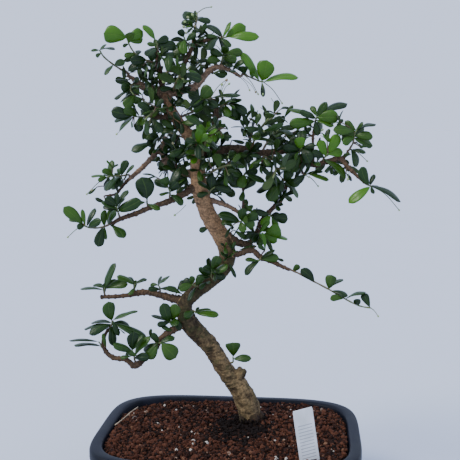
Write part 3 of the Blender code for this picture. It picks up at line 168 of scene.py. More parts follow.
# Shoots: stem points (board x, board y, depth), then leaves (place along the stem 0 to 1, tip's board x and
# y, tip's depth beyond the stem's, width as it looks), then how many more leaves the rule adds
SPRAYS = {
    "spray_left_tip": ((((126, 74, -8), (114, 65, -12), (104, 57, -16), (99.5, 50, -20)),),
        ((1, 91, 51, -5, 3), (0.98, 106, 44, 6, 3), (1, 115, 49.5, -7, 3), (0.9, 96, 57, 5, 4),
        (0.42, 125, 62, -8, 7), (0.45, 105, 75, -9, 4)), 0),
    "spray_left_low": ((((135, 82, -5), (131, 86, -10), (131, 91, -14), (134, 95, -16)),),
        ((0.2, 115, 80, -6, 6), (0.4, 121, 88, -8, 9), (0.6, 114, 99, -2, 3), (1, 124, 107, -6, 10),
        (1, 139, 104, 4, 8)), 4),
    "spray_bright_left": ((((157, 62, -10), (148, 61, -15), (139, 57, -18), (133, 51, -20), (129, 44, -21),
        (127, 38, -22)),), ((1, 103.5, 33.5, -5, 17), (0.97, 143, 31, 5, 11), (0.92, 143, 39, 9, 8),
        (0.85, 123, 47, -6, 3), (0.55, 124, 56, -8, 5), (0.25, 130, 61, -12, 10), (0.5, 139, 50, 8, 6),
        (0.35, 128, 71, -4, 6), (0.1, 152, 52, -9, 9)), 3),
    "spray_top_middle": ((((157, 49, -12), (157, 45, -13), (156, 41, -14)),), ((1, 143, 25, -4, 6),
        (0.8, 169, 38, 6, 8), (0.3, 177, 46, 9, 10), (0.6, 147, 44, -7, 4), (0.15, 146, 56, -8, 8),
        (0.1, 170, 56, 6, 8)), 1),
    "spray_top": ((((196, 25, 12), (197, 18, 12), (197, 13, 12)),), ((0.7, 186, 15, -5, 7),
        (0.3, 181, 24, -8, 5), (0.4, 211, 21, 6, 6), (1, 211, 7, 2, 2.5), (0.6, 188, 24, 8, 5),
        (0.9, 194, 11, 3, 3)), 2),
    "spray_top_side": ((((192, 46, 10), (186, 42, 2), (184, 37, -2)),), ((1, 179, 30, -6, 7),
        (0.4, 176, 46, -6, 6), (0.8, 183, 54, -9, 9), (0.6, 196, 33, -4, 6), (0.2, 172, 58, -9, 9)), 1),
    "spray_bright_right": ((((215, 37, 14), (221, 38, 14), (227, 37, 14)),), ((0.8, 246, 26, 4, 13),
        (1, 259.5, 37, -6, 8.5), (0.6, 206, 25, 5, 6), (0.4, 231, 47, -5, 5), (0.3, 207, 50, -8, 6),
        (0.2, 224, 50, 8, 5)), 1),
    "spray_top_right_up": ((((220, 66, 9), (222, 60, 6), (224, 54, 4)),), ((1, 243, 52, 2, 9),
        (0.6, 237, 60, -5, 9), (0.8, 210, 50, -3, 8), (0.1, 233, 66, -9, 5), (0.3, 207, 60, -8, 8),
        (0.9, 226, 46, -9, 8)), 3),
    "spray_top_right_tip": ((((241, 77, 11), (252, 78, 12), (259, 81, 11), (264, 82, 10)),),
        ((0.9, 267, 60, -5, 18), (1, 298.5, 77.5, -4, 7), (0.8, 241, 52, -3, 8), (0.97, 282, 103, 2, 2.2),
        (0.9, 263, 97, -5, 4), (0.12, 243, 66, -7, 10), (0.3, 231, 65, -4, 4), (0.1, 258, 94, -8, 2.2),
        (0.5, 252, 67, -8, 6)), 0),
    "spray_inner_top": ((((213, 99, -18), (207, 99, -23), (200, 99, -26)),), ((1, 211, 87, -6, 13),
        (0.1, 241, 95, -4, 5), (0.6, 190, 106, -5, 8), (0.2, 226, 80, 4, 2.2), (0.8, 188, 93, 3, 9),
        (0.5, 218, 107, -6, 8)), 6),
    "spray_inner_right": ((((216, 109, -15), (224, 105, -16), (232, 104, -17)),), ((1, 247, 114, -5, 8),
        (0.7, 242, 100, -8, 4), (1, 239, 121, 5, 9), (0.5, 229, 117, -7, 9)), 4),
    "spray_left_mid": ((((151, 117, -11), (145, 117, -13), (139, 117, -14), (134, 116, -16)),
        ((151, 117, -11), (149, 124, -17), (149, 129, -20))), ((1, 111, 111, -4, 12), (1, 114, 121, 4, 5),
        (0.95, 119, 131, -4, 3), (0.6, 151, 101, -4, 3), (0.8, 124, 108, -8, 9), (0.5, 138, 132, -6, 9),
        (0.45, 138, 125, -5, 6), (0.3, 157, 106, 6, 8)), 5),
    "spray_left_inner": ((((166, 136, 11), (160, 138, 7), (154, 143, 4)),), ((1, 131, 151, -4, 7),
        (0.8, 147, 144, -7, 8), (0.4, 150, 134, -5, 7), (0.2, 174, 146, -8, 8)), 4),
    "spray_fork_tip": ((((131, 176, 3), (121, 176, -4), (112, 176, -7), (107, 177, -8)), ((121, 176, -4),
        (114, 182, -10), (108, 187, -12))), ((0.4, 127, 160, -4, 8), (0.9, 112, 160, 4, 6),
        (0.2, 134, 165, -6, 3), (1, 91, 176, 2, 3), (1, 98, 181, -6, 5), (0.9, 105, 188, 5, 6),
        (0.6, 120, 187, -7, 7), (0.7, 102, 170, -8, 6), (0.5, 120, 168, 9, 6), (0.8, 87, 194, -4, 2.2),
        (0.7, 112, 190, 6, 7), (0.4, 106, 191, -9, 7)), 1),
    "spray_mid_left_inner": ((((120, 218, -30), (118, 212, -33), (116, 206, -35)),), ((1, 105, 198, -4, 9),
        (0.9, 128, 190, 4, 4), (0.5, 141, 200, -4, 11), (0.8, 117, 193, -8, 6), (0.4, 103, 206, 5, 6),
        (0.7, 101, 202, -9, 6)), 1),
    "spray_mid_left_big": ((((148, 206, -22), (147, 202, -24), (147, 199, -26)),), ((1, 141.5, 177, -4, 18),
        (0.5, 118, 209, -10, 9), (0.2, 160, 210, -8, 5)), 0),
    "spray_mid_left_upper": ((((170, 198, -16), (170, 192, -20), (168, 187, -22)),), ((1, 163, 178, -6, 10),
        (0.8, 178, 182, -5, 9), (0.5, 159, 195, -5, 3), (0.9, 154, 180, 4, 8), (0.3, 183, 205, -6, 7),
        (0.5, 187, 177, 6, 9), (0.7, 180, 168, 4, 9)), 1),
    "spray_mid_left_tip": ((((112, 223, -32), (103, 227, -35), (95, 228, -37), (87, 227, -39),
        (83, 224, -40)),), ((0.97, 63.5, 207, -4, 11), (1, 69, 219, 4, 4), (0.85, 95, 208, 5, 4),
        (0.8, 101, 220, -8, 8), (0.95, 77, 228, -6, 6), (0.9, 68, 237, 4, 2.2), (0.3, 98, 247, -6, 10),
        (0.06, 124, 238, -5, 7), (0.25, 104, 210, -8, 7), (0.1, 116, 211, -9, 6)), 0),
    "spray_low_flat_tip": ((((104, 293, 24), (104, 290, 22), (105, 288, 21)),), ((0.9, 115.5, 263, -4, 8),
        (0.6, 80, 289, -4, 3.5), (0.8, 128, 284, -6, 9), (1, 93, 285, 5, 5)), 1),
    "spray_low_flat_mid": ((((135, 291, 15), (134, 287, 13), (135, 284, 12)),), ((0.9, 117, 276, -4, 6),
        (1, 147, 279, 4, 4), (0.4, 129, 295, -9, 4), (1, 128, 277, 9, 5)), 0),
    "spray_low_flat_root": ((((163, 292, 8), (160, 288, 5), (158, 285, 4)),), ((1, 170, 276, -3, 3),
        (0.5, 177, 289, -8, 5), (1, 150, 285, 4, 4), (0.8, 161, 276, 8, 3), (0.4, 148, 289, -8, 5)), 0),
    "spray_low_drop_mid": ((((136, 362, -25), (134, 356, -32), (132, 350, -33)),), ((1, 134, 332, -4, 11),
        (1, 113, 344, -5, 8), (0.5, 150, 336, 4, 8), (1, 143, 335, -9, 6), (0.4, 149, 357, -6, 9)), 0),
    "spray_low_drop_near": ((((156, 345, -21), (158, 343, -26), (161, 343, -29)),), ((1, 176, 358, -3, 16),
        (0.4, 147, 359, -6, 11), (0.6, 143, 350, 4, 7), (0.5, 152, 333, -6, 6)), 1),
    "spray_low_drop_tip": ((((111, 327, -13), (112, 324, -14), (112, 321, -15)),),
        ((1, 108.5, 301.5, -3, 13), (1, 138, 311, 4, 5), (0.6, 91, 323, 4, 4), (0.4, 84, 329, -5, 4),
        (0.3, 89, 334, -9, 9), (0.6, 147, 338, -8, 9), (0.2, 113, 346, -9, 8), (0.7, 130, 327, 7, 7)), 0),
    "spray_low_drop_side": ((((104, 348, -17), (101, 345, -21), (99, 342, -24)),), ((1, 69, 340.5, -3, 3.4),
        (0.3, 74, 345, 4, 3.6)), 0),
    "spray_trunk_left": ((((179, 315, -8), (172, 320, -14), (169, 323, -17)),), ((1, 163, 303, -4, 12),
        (0.7, 176, 304, -6, 11), (1, 157, 325, -4, 6), (0.4, 180, 330, -8, 7)), 3),
    "spray_trunk_right": ((((192, 311, -8), (196, 313, -12)),), ((1, 219, 315, -3, 7),
        (0.4, 184, 317, -10, 8), (0.8, 199, 307, 4, 3)), 1),
    "spray_trunk_moss": ((((213, 280, -1), (211, 276, -6), (212, 271, -8)),), ((0.3, 196, 277, -5, 6),
        (0.8, 203, 267, -6, 9), (1, 219, 256, -5, 10), (0.6, 228, 265, -6, 8), (0.2, 226, 277, -4, 7),
        (0.1, 237, 278, -4, 3)), 3),
    "spray_trunk_moss_low": ((((200, 288, 0), (196, 286, -11), (192, 284, -14)),), ((1, 192, 276, -4, 6),
        (0.9, 179, 290, -5, 8), (0.5, 202, 276, -8, 8), (0.95, 183, 280, 3, 8)), 1),
    "spray_foot": ((((233, 368, -6), (233, 362, -9), (233, 357, -10)),), ((1, 232.5, 342.5, -4, 15.5),
        (0.8, 251.5, 358.5, -4, 8)), 0),
    "spray_right_low_near": ((((262, 256, -8), (260, 260, -12), (258, 261, -14)),), ((0.9, 245, 275, -3, 6),
        (1, 245, 259, 4, 5), (0.2, 275, 250, -8, 5), (0.1, 279, 258, -9, 9), (0.4, 250, 268, 4, 6)), 0),
    "spray_right_low": ((((289, 269, -18), (300, 274, -22), (313, 281, -28), (330, 290, -34),
        (347, 300, -40), (360, 306, -45), (371, 308, -48)),), ((0.03, 299, 265, -6, 6),
        (0.31, 301, 269, -5, 9.5), (0.49, 332, 275, -4, 11), (0.48, 343, 279, 8, 4),
        (0.52, 348, 296, -8, 4), (0.68, 330, 299, -6, 6), (0.7, 366, 292, -4, 4), (0.86, 356, 299, -6, 7),
        (0.99, 363, 293, 5, 8), (1, 378, 316, -3, 2.5)), 0),
    "spray_right_mid": ((((257, 233, 15), (260, 234, 9), (264, 234, 6)),), ((1, 281, 230, -5, 16),
        (0.9, 277, 242, -3, 9), (0.8, 288, 239, 5, 5), (0.4, 260, 246, -7, 8), (0.3, 246, 236, -8, 8)), 3),
    "spray_right_mid_upper": ((((268, 212, 19), (270, 215, 14), (272, 217, 12)),), ((1, 288, 219, -3, 11),
        (0.6, 262, 226, -7, 9), (0.4, 256, 211, -8, 7), (0.9, 277, 228, 5, 7)), 0),
    "spray_right_twig": ((((244, 217, -8), (242, 221, -12), (239, 222, -15)),), ((0.8, 218, 214, -3, 9),
        (1, 221, 223, 4, 7), (0.3, 258, 214, -5, 9), (0.5, 243, 208, -8, 9), (0.2, 255, 226, 3, 9),
        (0.7, 244, 232, -6, 8)), 3),
    "spray_upright": ((((241, 181, -5), (243, 176, -7), (246, 174, -8)),), ((0.4, 228, 183, -4, 10),
        (0.8, 241, 188, -6, 10), (1, 265, 182, -3, 7), (0.9, 258, 170, 5, 8), (0.6, 232, 171, 6, 8)), 4),
    "spray_trunk_side": ((((206, 195, -4), (211, 190, -10), (215, 187, -13)),), ((1, 232, 191, -3, 9),
        (0.6, 211, 175, -5, 10), (0.8, 226, 178, 6, 8), (0.3, 197, 196, -5, 6)), 3),
    "spray_right_mid_tip": ((((287, 183, 24), (284, 181, 17), (281, 183, 12)),), ((1, 268, 201, -4, 13),
        (0.8, 256, 192, 3, 7), (0.4, 298, 198, -4, 6), (0.3, 300, 184, -5, 9), (0.9, 268, 176, -4, 10),
        (0.6, 291, 169, -4, 11)), 2),
    "spray_crown_right_a": ((((298, 156, 6), (300, 151, 0), (302, 148, -3)),), ((0.8, 299.5, 137, -5, 11),
        (1, 310, 163, -8, 12), (0.4, 287, 160, -8, 9), (0.9, 290, 138, 4, 10), (0.2, 292, 173, 3, 11),
        (0.5, 280, 167, -9, 9), (0.6, 283, 148, -4, 9), (1, 303, 130, 9, 10)), 3),
    "spray_crown_right_b": ((((303, 174, 2), (305, 175, 0), (307, 174, -2)),), ((1, 329, 180, -4, 4),
        (0.8, 323, 171, 4, 4.5), (0.5, 294, 183, -6, 8), (0.4, 318, 186, 8, 2.2)), 1),
    "spray_crown_right_c": ((((323, 162, 2), (325, 157, -3), (328, 153, -5)),), ((1, 338, 134, -4, 11),
        (0.6, 320, 140, -5, 9), (0.8, 343, 152, 5, 9), (0.1, 346, 178.5, -6, 7), (0.4, 312, 152, -8, 8)),
        2),
    "spray_crown_right_d": ((((315, 124, 10), (316, 119, 8), (317, 116, 7)),), ((1, 327, 102, -3, 8),
        (1, 347.5, 103.5, 4, 6), (0.8, 339, 117, -6, 14), (0.4, 334, 126, -8, 6), (0.9, 311, 106, 5, 6),
        (0.6, 289, 109, 4, 5), (0.7, 300, 111, -6, 6), (0.3, 289, 124, -5, 11), (0.2, 322, 131, 6, 7)), 1),
    "spray_crown_right_e": ((((349, 152, -2), (353, 143, -4), (354, 137, -5), (355, 133, -6),
        (357, 130, -8)),), ((0.7, 373, 137, -4, 9), (0.6, 373, 146, 5, 8), (1, 376, 124, 3, 4),
        (0.9, 333, 130, -5, 9), (0.95, 345, 121, 5, 7), (0.7, 343, 144, -8, 8), (1, 363, 122, -4, 3),
        (0.08, 367, 161, -3, 2.4), (0.05, 366, 153, -8, 3), (0.8, 341, 135, -9, 9), (0.15, 357, 167, 5, 8),
        (0.5, 341, 139, 7, 8)), 1),
    "spray_crown_right_tip": ((((365, 183, -12), (368, 185, -13), (371, 186, -14)),),
        ((1, 348.5, 203, -4, 10), (1, 401, 202, -3, 6), (0.7, 361, 167, -5, 10), (0.9, 383, 190, 5, 4),
        (1, 399, 210, 6, 2.2), (0.8, 374, 174, 5, 5)), 0),
}
# Forked shoots that reach forward and back from the trunk and limbs: points, and the leaves on each
CLUSTERS = {
    "spray_front_mid": (((200, 163, -2), (203, 150, -19), (206, 140, -31), (203, 128, -41)), 14),
    "spray_front_low": (((202, 177, 0), (213, 171, -16), (225, 166, -26), (237, 165, -33)), 13),
    "spray_front_crown": (((170, 107, -3), (160, 109, -18), (152, 113, -27), (145, 120, -33)), 12),
    "spray_front_top": (((173, 93, 0), (175, 85, -18), (179, 77, -28), (186, 68, -35)), 14),
    "spray_front_inner": (((250, 151, 8), (255, 139, -9), (261, 128, -20), (269, 118, -30)), 15),
    "spray_front_right": (((272, 152, 9), (274, 161, -8), (276, 169, -21), (273, 178, -31)), 13),
    "spray_back_crown": (((177, 119, -4), (190, 113, 17), (202, 109, 33), (214, 105, 45)), 13),
    "spray_back_left": (((191, 139, -3), (179, 136, 14), (169, 132, 28), (160, 124, 41)), 12),
    "spray_back_top": (((180, 80, 5), (190, 73, 21), (200, 65, 33), (206, 55, 43)), 12),
    "spray_back_right": (((262, 153, 9), (268, 141, 25), (275, 131, 40), (284, 121, 53)), 15),
    "spray_back_inner": (((243, 149, 8), (240, 156, 22), (236, 163, 36), (230, 170, 48)), 12),
    "spray_back_mid": (((206, 204, 3), (210, 193, 20), (214, 182, 36), (220, 172, 50)), 12),
}

# Side stems of a forked shoot: the point that they leave, and their turn round it
FORKS = ((1, 0.5), (2, math.pi - 0.3), (2, -1.1))
# Radius of a shoot's stem and of its forks
STEM_RADIUS = 1.3
FORK_RADIUS = 1.1
GOLDEN_TURN = math.radians(137.5)
# Leaf outline: place along the blade and half width there, as parts of its length and width
LEAF_OUTLINE = ((0.36, 0.33), (0.7, 0.5), (1.0, 0.17))
LEAF_THICK = 1.4
LEAF_SUNK = 0.1
NARROW = 2.6
# Width of a drawn leaf as a part of its length, and its most; length and width of a ruled one
DRAWN_BREADTH, DRAWN_WIDEST = 0.46, 11.0
RULED_LENGTHS, RULED_BREADTHS = (14.5, 21.0), (0.42, 0.5)
# Shifts in depth tried for a drawn leaf, and turns tried for a ruled one
DEPTH_TRIES = (0, 3, -3, 6, -6, 9, -9, 12, -12, 16, -16, 20, -20)
RULED_TRIES = 16
# Leaves of one shoot may cross each other up to this part of their length
OWN_START = 0.11
OWN_CLEAR = 0.1
CROWN_AXIS = Vector((-20.0, 28.0, 0.0))


def seen(x, y, depth):
    """The point that a board point stands for at a depth behind the trunk's foot."""
    line = AHEAD * BOARD_DISTANCE + RIGHT * (x - BOARD_MIDDLE) + ABOVE * (BOARD_MIDDLE - y)
    return EYE + line * (((FOOT - EYE).dot(HEADING) + depth) / line.dot(HEADING))


def finer(path, steps):
    """Catmull-Rom curve through centre points and radii, with the rows kept."""
    rows = [Vector((*point, radius)) for point, radius in path]
    rows = [rows[0] * 2 - rows[1]] + rows + [rows[-1] * 2 - rows[-2]]
    found = []
    for i in range(1, len(rows) - 2):
        a, b, c, d = rows[i - 1:i + 3]
        for step in range(steps):
            t = step / steps
            bend = (a * 2 - b * 5 + c * 4 - d) * t ** 2 + (b * 3 - a - c * 3 + d) * t ** 3
            found.append((b * 2 + (c - a) * t + bend) / 2)
    return [(Vector(row[:3]), row[3]) for row in found + [rows[-2]]]


def wood_path(rows, steps):
    """Centre points and radii of a piece of wood."""
    return finer([(seen(*row[:3]), row[3]) for row in rows], steps)


def trunk_path():
    path = wood_path(TRUNK, 1)
    foot = path[0][0]
    return [(Vector((foot.x + 1.0, foot.y, SOIL_BOTTOM_Z + BURIED_UP)), BURIED_RADIUS)] + path


def root_path(turn, reach, radius):
    """A surface root that leaves the trunk's foot and dives into the soil."""
    out = Vector((math.cos(math.radians(turn)), math.sin(math.radians(turn)), 0.0))
    start = seen(*TRUNK[1][:3])
    start.z = FOOT.z
    path = []
    for far, up, part in ROOT_SHAPE:
        path.append((start + out * reach * far + Vector((0, 0, up)), radius * part))
    return path


def limb_paths():
    """The trunk's and every limb's centre points and radii, by name."""
    return {"trunk": trunk_path(), **{name: wood_path(rows, 1) for name, rows in LIMBS.items()}}


def wood_paths():
    """All wood's centre points and radii, the trunk first and the roots last."""
    return [*limb_paths().values(), *(root_path(*root) for root in ROOTS)]


def loft(rings):
    """Closed body through rings of equal count, the first and last capped."""
    sides = len(rings[0])
    points = [point for row in rings for point in row]
    faces = []
    for i in range(len(rings) - 1):
        for k in range(sides):
            a, b = i * sides + k, i * sides + (k + 1) % sides
            faces.append((a, b, b + sides, a + sides))
    faces.append(tuple(reversed(range(sides))))
    faces.append(tuple(range(len(points) - sides, len(points))))
    return points, faces


def tube(path, sides, grow=0.0):
    """Closed tube along centre points and radii, as points and faces."""
    centres = [point for point, _ in path]
    turns = [2 * math.pi * k / sides for k in range(sides)]
    rings = []
    side = None
    for i, (centre, radius) in enumerate(path):
        along = (centres[min(i + 1, len(centres) - 1)] - centres[max(i - 1, 0)]).normalized()
        side = along.orthogonal() if side is None else side - along * side.dot(along)
        side.normalize()
        other = along.cross(side)
        rings.append([centre + (side * math.cos(t) + other * math.sin(t)) * (radius + grow) for t in turns])
    return loft(rings)


def leaf_frame(base, tip, normal):
    """Directions along a blade, across it and out of its face, and its length."""
    along = tip - base
    length = along.length
    along = along / length
    side = along.cross(normal).normalized()
    return along, side, side.cross(along), length


def leaf_solid(leaf, grow=0.0, start=0.0):
    """Spoon-shaped arched blade, from a thin root to a blunt tip and keeled below: points and faces."""
    base, tip, normal, width, bow = leaf
    along, side, face, length = leaf_frame(base, tip, normal)
    points = [base + along * (length * start - LEAF_SUNK)]
    for place, part in LEAF_OUTLINE:
        half = max(width * part, 0.3) + grow
        rise = bow * length * 4 * place * (1 - place) + LEAF_THICK / 2 + grow
        centre = base + along * (length * place + grow * place) + face * rise
        points += [centre - side * half, centre + side * half]
    place = LEAF_OUTLINE[1][0]
    sink = bow * length * 4 * place * (1 - place) - LEAF_THICK / 2 - grow
    points.append(base + along * (length * place) + face * sink)
    faces = [(0, 2, 1), (1, 2, 4, 3), (3, 4, 6, 5), (0, 1, 7), (2, 0, 7)]
    faces += [(1, 3, 7), (4, 2, 7), (3, 5, 7), (6, 4, 7), (5, 6, 7)]
    return points, faces


def tree_of(points, faces):
    """A mesh's search tree, its middle, and its reach from there."""
    middle = sum(points, Vector()) / len(points)
    reach = max((point - middle).length for point in points)
    return BVHTree.FromPolygons(points, faces), middle, reach


def meets(first, second):
    """Whether two meshes touch, each as tree_of() gives it."""
    if (first[1] - second[1]).length > first[2] + second[2]:
        return False
    return bool(first[0].overlap(second[0]))


def joined(meshes):
    points, faces = [], []
    for more_points, more_faces in meshes:
        faces += [tuple(len(points) + i for i in face) for face in more_faces]
        points += more_points
    return points, faces


def tube_tree(paths, sides, grow):
    return tree_of(*joined([tube(path, sides, grow) for path in paths]))


def off_the_wood(points, wood):
    """Stem points whose foot stands clear of the wood and square to it, on the side the stem leaves by."""
    spot, normal, _, _ = wood.ray_cast(points[1], points[0] - points[1], (points[0] - points[1]).length)
    if spot is None or normal.dot((points[1] - spot).normalized()) < 0.5:
        spot, normal, _, _ = wood.find_nearest(points[1])
    return [spot + normal * (GAP + 0.1), spot + normal * 1.8] + points[1:]


def stem_path(points, thick):
    """A stem that thins towards its tip."""
    last = len(points) - 1
    return [(point, thick * (1 - 0.35 * i / last)) for i, point in enumerate(points)]


def fork_path(points):
    """A stem that starts slim enough to lie wholly inside the one it forks from."""
    last = len(points) - 1
    return [(point, FORK_RADIUS * (0.5 + 0.4 * i / last)) for i, point in enumerate(points)]


def steps_of(path):
    return [after[0] - before[0] for before, after in zip(path, path[1:])]


def along_stem(path, place):
    """Point on a stem and its direction, place 0 to 1 by length."""
    steps = steps_of(path)
    left = max(min(place, 0.999), 0.0) * sum([step.length for step in steps])
    for (point, _), step in zip(path, steps):
        if left <= step.length:
            return point + step * (left / step.length), step.normalized()
        left -= step.length
    return path[-1][0], steps[-1].normalized()


def drawn_leaf(path, row, depth, shift):
    """A leaf from a table row, its tip moved in depth by the shift; narrow ones are seen edge on."""
    place, x, y, further, looks = row
    base, _ = along_stem(path, place)
    tip = seen(x, y, depth + further + shift)
    length = (tip - base).length
    narrow = looks <= NARROW
    width = looks if narrow else max(min(DRAWN_BREADTH * length, DRAWN_WIDEST), looks)
    along = (tip - base).normalized()
    towards = (EYE - base).normalized()
    towards = (towards - along * towards.dot(along)).normalized()
    roll = math.acos(looks / width)
    over = along.cross(towards)
    if over.z < 0:
        over = -over
    return base, tip, towards * math.cos(roll) + over * math.sin(roll), width, 0.04 if narrow else 0.1


def ruled_leaf(path, place, index, draw):
    """A leaf by rule: each a golden turn round from the last, with a seeded random part."""
    base, along = along_stem(path, place)
    side = along.orthogonal().normalized()
    turn = GOLDEN_TURN * index + draw.uniform(-0.7, 0.7)
    out = side * math.cos(turn) + along.cross(side) * math.sin(turn)
    way = (out + along * draw.uniform(0.2, 0.9) + Vector((0, 0, draw.uniform(-0.3, 0.45)))).normalized()
    length = draw.uniform(*RULED_LENGTHS)
    outward = base - CROWN_AXIS
    outward.z = 0
    face = outward.normalized() * 0.5 + Vector([draw.uniform(-0.7, 0.7) for _ in range(3)])
    face.z += 0.6
    face = (face - way * face.dot(way)).normalized()
    width, bow = length * draw.uniform(*RULED_BREADTHS), draw.uniform(0.04, 0.14)
    return base, base + way * length, face, width, bow


def stem_places(stems, count, draw):
    """Seeded places for a number of leaves, shared out over the stems by their length."""
    lengths = [sum([step.length for step in steps_of(path)]) for path in stems]
    found = []
    for index in range(count):
        left = (index + draw.uniform(0.2, 0.8)) / count * sum(lengths)
        for path, length in zip(stems, lengths):
            if left <= length or path is stems[-1]:
                found.append((path, 0.12 + 0.88 * min(left / length, 1.0)))
                break
            left -= length
    return found


def cluster_stems(points, draw):
    """A forked shoot along drawn points."""
    main = [seen(*point) for point in points]
    forks = []
    for k, turn in FORKS:
        along = (main[k + 1] - main[k]).normalized()
        side = along.cross(Vector((0, 0, 1))).normalized()
        up = side.cross(along)
        out = side * math.cos(turn) + up * math.sin(turn)
        forks.append([main[k], main[k] + out * (11 + 4 * draw.random()) + along * 7 + Vector((0, 0, 3))])
    return [main] + forks


def grow_leaves(stems, rows, extra, depths, others, draw):
    """One shoot's leaves, each clear of other nodes and of its fellows."""
    own, leaves = [], []

    def try_leaf(leaf):
        outer = tree_of(*leaf_solid(leaf, OWN_CLEAR, OWN_START))
        whole = tree_of(*leaf_solid(leaf, GAP + 0.05))
        if any(meets(outer, other) for other in own) or any(meets(whole, other) for other in others):
            return False
        own.append(outer)
        leaves.append(leaf)
        return True

    for row in rows:
        depth = depths[0] + (depths[-1] - depths[0]) * row[0]
        any(try_leaf(drawn_leaf(stems[0], row, depth, shift)) for shift in DEPTH_TRIES)
    for index, (path, place) in enumerate(stem_places(stems, extra, draw)):
        any(try_leaf(ruled_leaf(path, place, index, draw)) for _ in range(RULED_TRIES))
    return leaves


def shoot_plans(surface, draw):
    """Name, stem paths, drawn leaves, number of ruled leaves and depths of every shoot."""
    plans = []
    for name, (stems, rows, extra) in SPRAYS.items():
        drawn = [[seen(*point) for point in stem] for stem in stems]
        drawn[0] = off_the_wood(drawn[0], surface)
        for stem in drawn[1:]:
            stem[0] = drawn[0][2]
        paths = [stem_path(drawn[0], STEM_RADIUS)] + [fork_path(points) for points in drawn[1:]]
        plans.append((name, paths, rows, extra, [point[2] for point in stems[0]]))
    for name, (points, extra) in CLUSTERS.items():
        stems = cluster_stems(points, draw)
        stems[0] = off_the_wood(stems[0], surface)
        paths = [stem_path(stems[0], STEM_RADIUS * 1.25)] + [fork_path(points) for points in stems[1:]]
        plans.append((name, paths, (), extra, [0.0]))
    return plans


def plan_tree():
    """All shoots: name, stem paths and leaves, in the same order and places every time."""
    draw = random.Random(SEED)
    surface = BVHTree.FromPolygons(*joined([tube(path, 16) for path in wood_paths()]))
    placed = [tube_tree(wood_paths(), 12, 0.2), tree_of(*joined([soil_grid(), label_box()]))]
    plans = shoot_plans(surface, draw)
    stem_trees = [tube_tree(paths, 6, GAP) for _, paths, _, _, _ in plans]
    sprays = []
    for index, (name, paths, rows, extra, depths) in enumerate(plans):
        others = placed + stem_trees[:index] + stem_trees[index + 1:]
        leaves = grow_leaves(paths, rows, extra, depths, others, draw)
        placed += [tree_of(*leaf_solid(leaf)) for leaf in leaves]
        sprays.append((name, paths, leaves))
    return sprays


def ring(half_x, half_y, z, sides, power=CORNER_POWER):
    """Rounded rectangle at a height, corners set by the power."""
    points = []
    for k in range(sides):
        turn = 2 * math.pi * (k + 0.5) / sides
        across, along = math.cos(turn), math.sin(turn)
        far = (abs(across) ** power + abs(along) ** power) ** (-1 / power)
        points.append(Vector((half_x * across * far, half_y * along * far, z)))
    return points


def pot_half(inset):
    """Half the pot's length and width at an inset from its rim."""
    return RIM_HALF_X - inset, RIM_HALF_Y - inset


def even_height(x, y):
    """The soil's height without its random part: heaped round the trunk, low in the far left corner."""
    from_trunk = math.hypot(x - FOOT.x, y - FOOT.y)
    corner = math.exp(-((x - LOW_CORNER[0]) ** 2 + (y - LOW_CORNER[1]) ** 2) / LOW_REACH ** 2)
    heap = HEAP_HEIGHT * math.exp(-(from_trunk / HEAP_REACH) ** 2)
    waves = 0.7 * math.sin(x / 13.0 + 1.0) * math.cos(y / 11.0) + 0.5 * math.sin((x + y) / 7.0)
    return SOIL_EDGE_Z + 1.2 + heap + waves - LOW_DEPTH * corner


def soil_rows(scales, sides):
    """The soil's rings: its foot, then one for each scale on top, still level. Where the top ones start."""
    rings = [ring(*pot_half(inset), z, sides) for inset, z in SOIL_WALL]
    half_x, half_y = pot_half(SOIL_INSET)
    for scale in scales:
        rings.append(ring(half_x * scale, half_y * scale, 0.0, sides, 2.0 + 2.4 * scale ** 2))
    return rings, rings[len(SOIL_WALL):]


def soil_grid():
    """The solid soil with the gap round it: walls inside the pot and rings of uneven grit on top."""
    draw = random.Random(SOIL_SEED)
    rings, top = soil_rows(SOIL_RINGS, POT_SIDES)
    for row in top:
        for point in row:
            point.z = even_height(point.x, point.y) + draw.uniform(-0.7, 0.7) + GAP
    for point in top[0]:
        point.z = SOIL_EDGE_Z - 1.0 + 0.4 * (point.z - SOIL_EDGE_Z)
    middle = sum([point.z for point in top[-1]], 0.0) / POT_SIDES
    for point in top[-1]:
        point.z = middle
    return loft(rings)


def label_axes():
    """The label's directions: up, across, and to its back."""
    up = Vector((math.sin(LABEL_LEAN), 0, math.cos(LABEL_LEAN)))
    across = Vector((math.cos(LABEL_TURN), math.sin(LABEL_TURN), 0))
    across = (across - up * across.dot(up)).normalized()
    return up, across, up.cross(across)


def label_box():
    """The solid label with the gap round it: leaning and turned, with a pointed foot."""
    wide, thick, tall = LABEL_SIZE
    up, across, back = label_axes()
    rings = []
    for low, half in ((0.0, 0.3), (LABEL_POINT, 0.5), (0.97, 0.5), (1.0, 0.42)):
        centre = LABEL_FOOT + up * (low * (tall + GAP) if low else -GAP)
        side = across * (wide * half + GAP)
        depth = back * (thick / 2 + GAP)
        left, right = centre - side, centre + side
        rings.append([left - depth, right - depth, right + depth, left + depth])
    return loft(rings)


# Fine leaf grid: places along the blade and across it
BLADE_ROWS = (0.0, 0.06, 0.13, 0.22, 0.32, 0.42, 0.52, 0.61, 0.69, 0.77, 0.84, 0.9, 0.95, 0.985, 1.0)
BLADE_COLUMNS = (-1.0, -0.66, -0.3, 0.0, 0.3, 0.66, 1.0)
SMALL_ROWS = (0.0, 0.12, 0.28, 0.45, 0.6, 0.73, 0.84, 0.93, 1.0)
SMALL_COLUMNS = (-1.0, -0.5, 0.0, 0.5, 1.0)
# Past this place a blade's edge is toothed, and its tip stays blunt; how deep the teeth are
TIP_START, TOOTH_DEPTH = 0.8, 0.035
# Powers that shape a blade's outline towards its root and its tip: from and to, and those of a broad leaf
ROOT_POWERS, TIP_POWERS, BROAD_POWERS = (0.45, 0.75), (2.6, 4.6), (0.9, 8.0)
# A leaf wider than this part of its length is broad
BROAD = 0.85
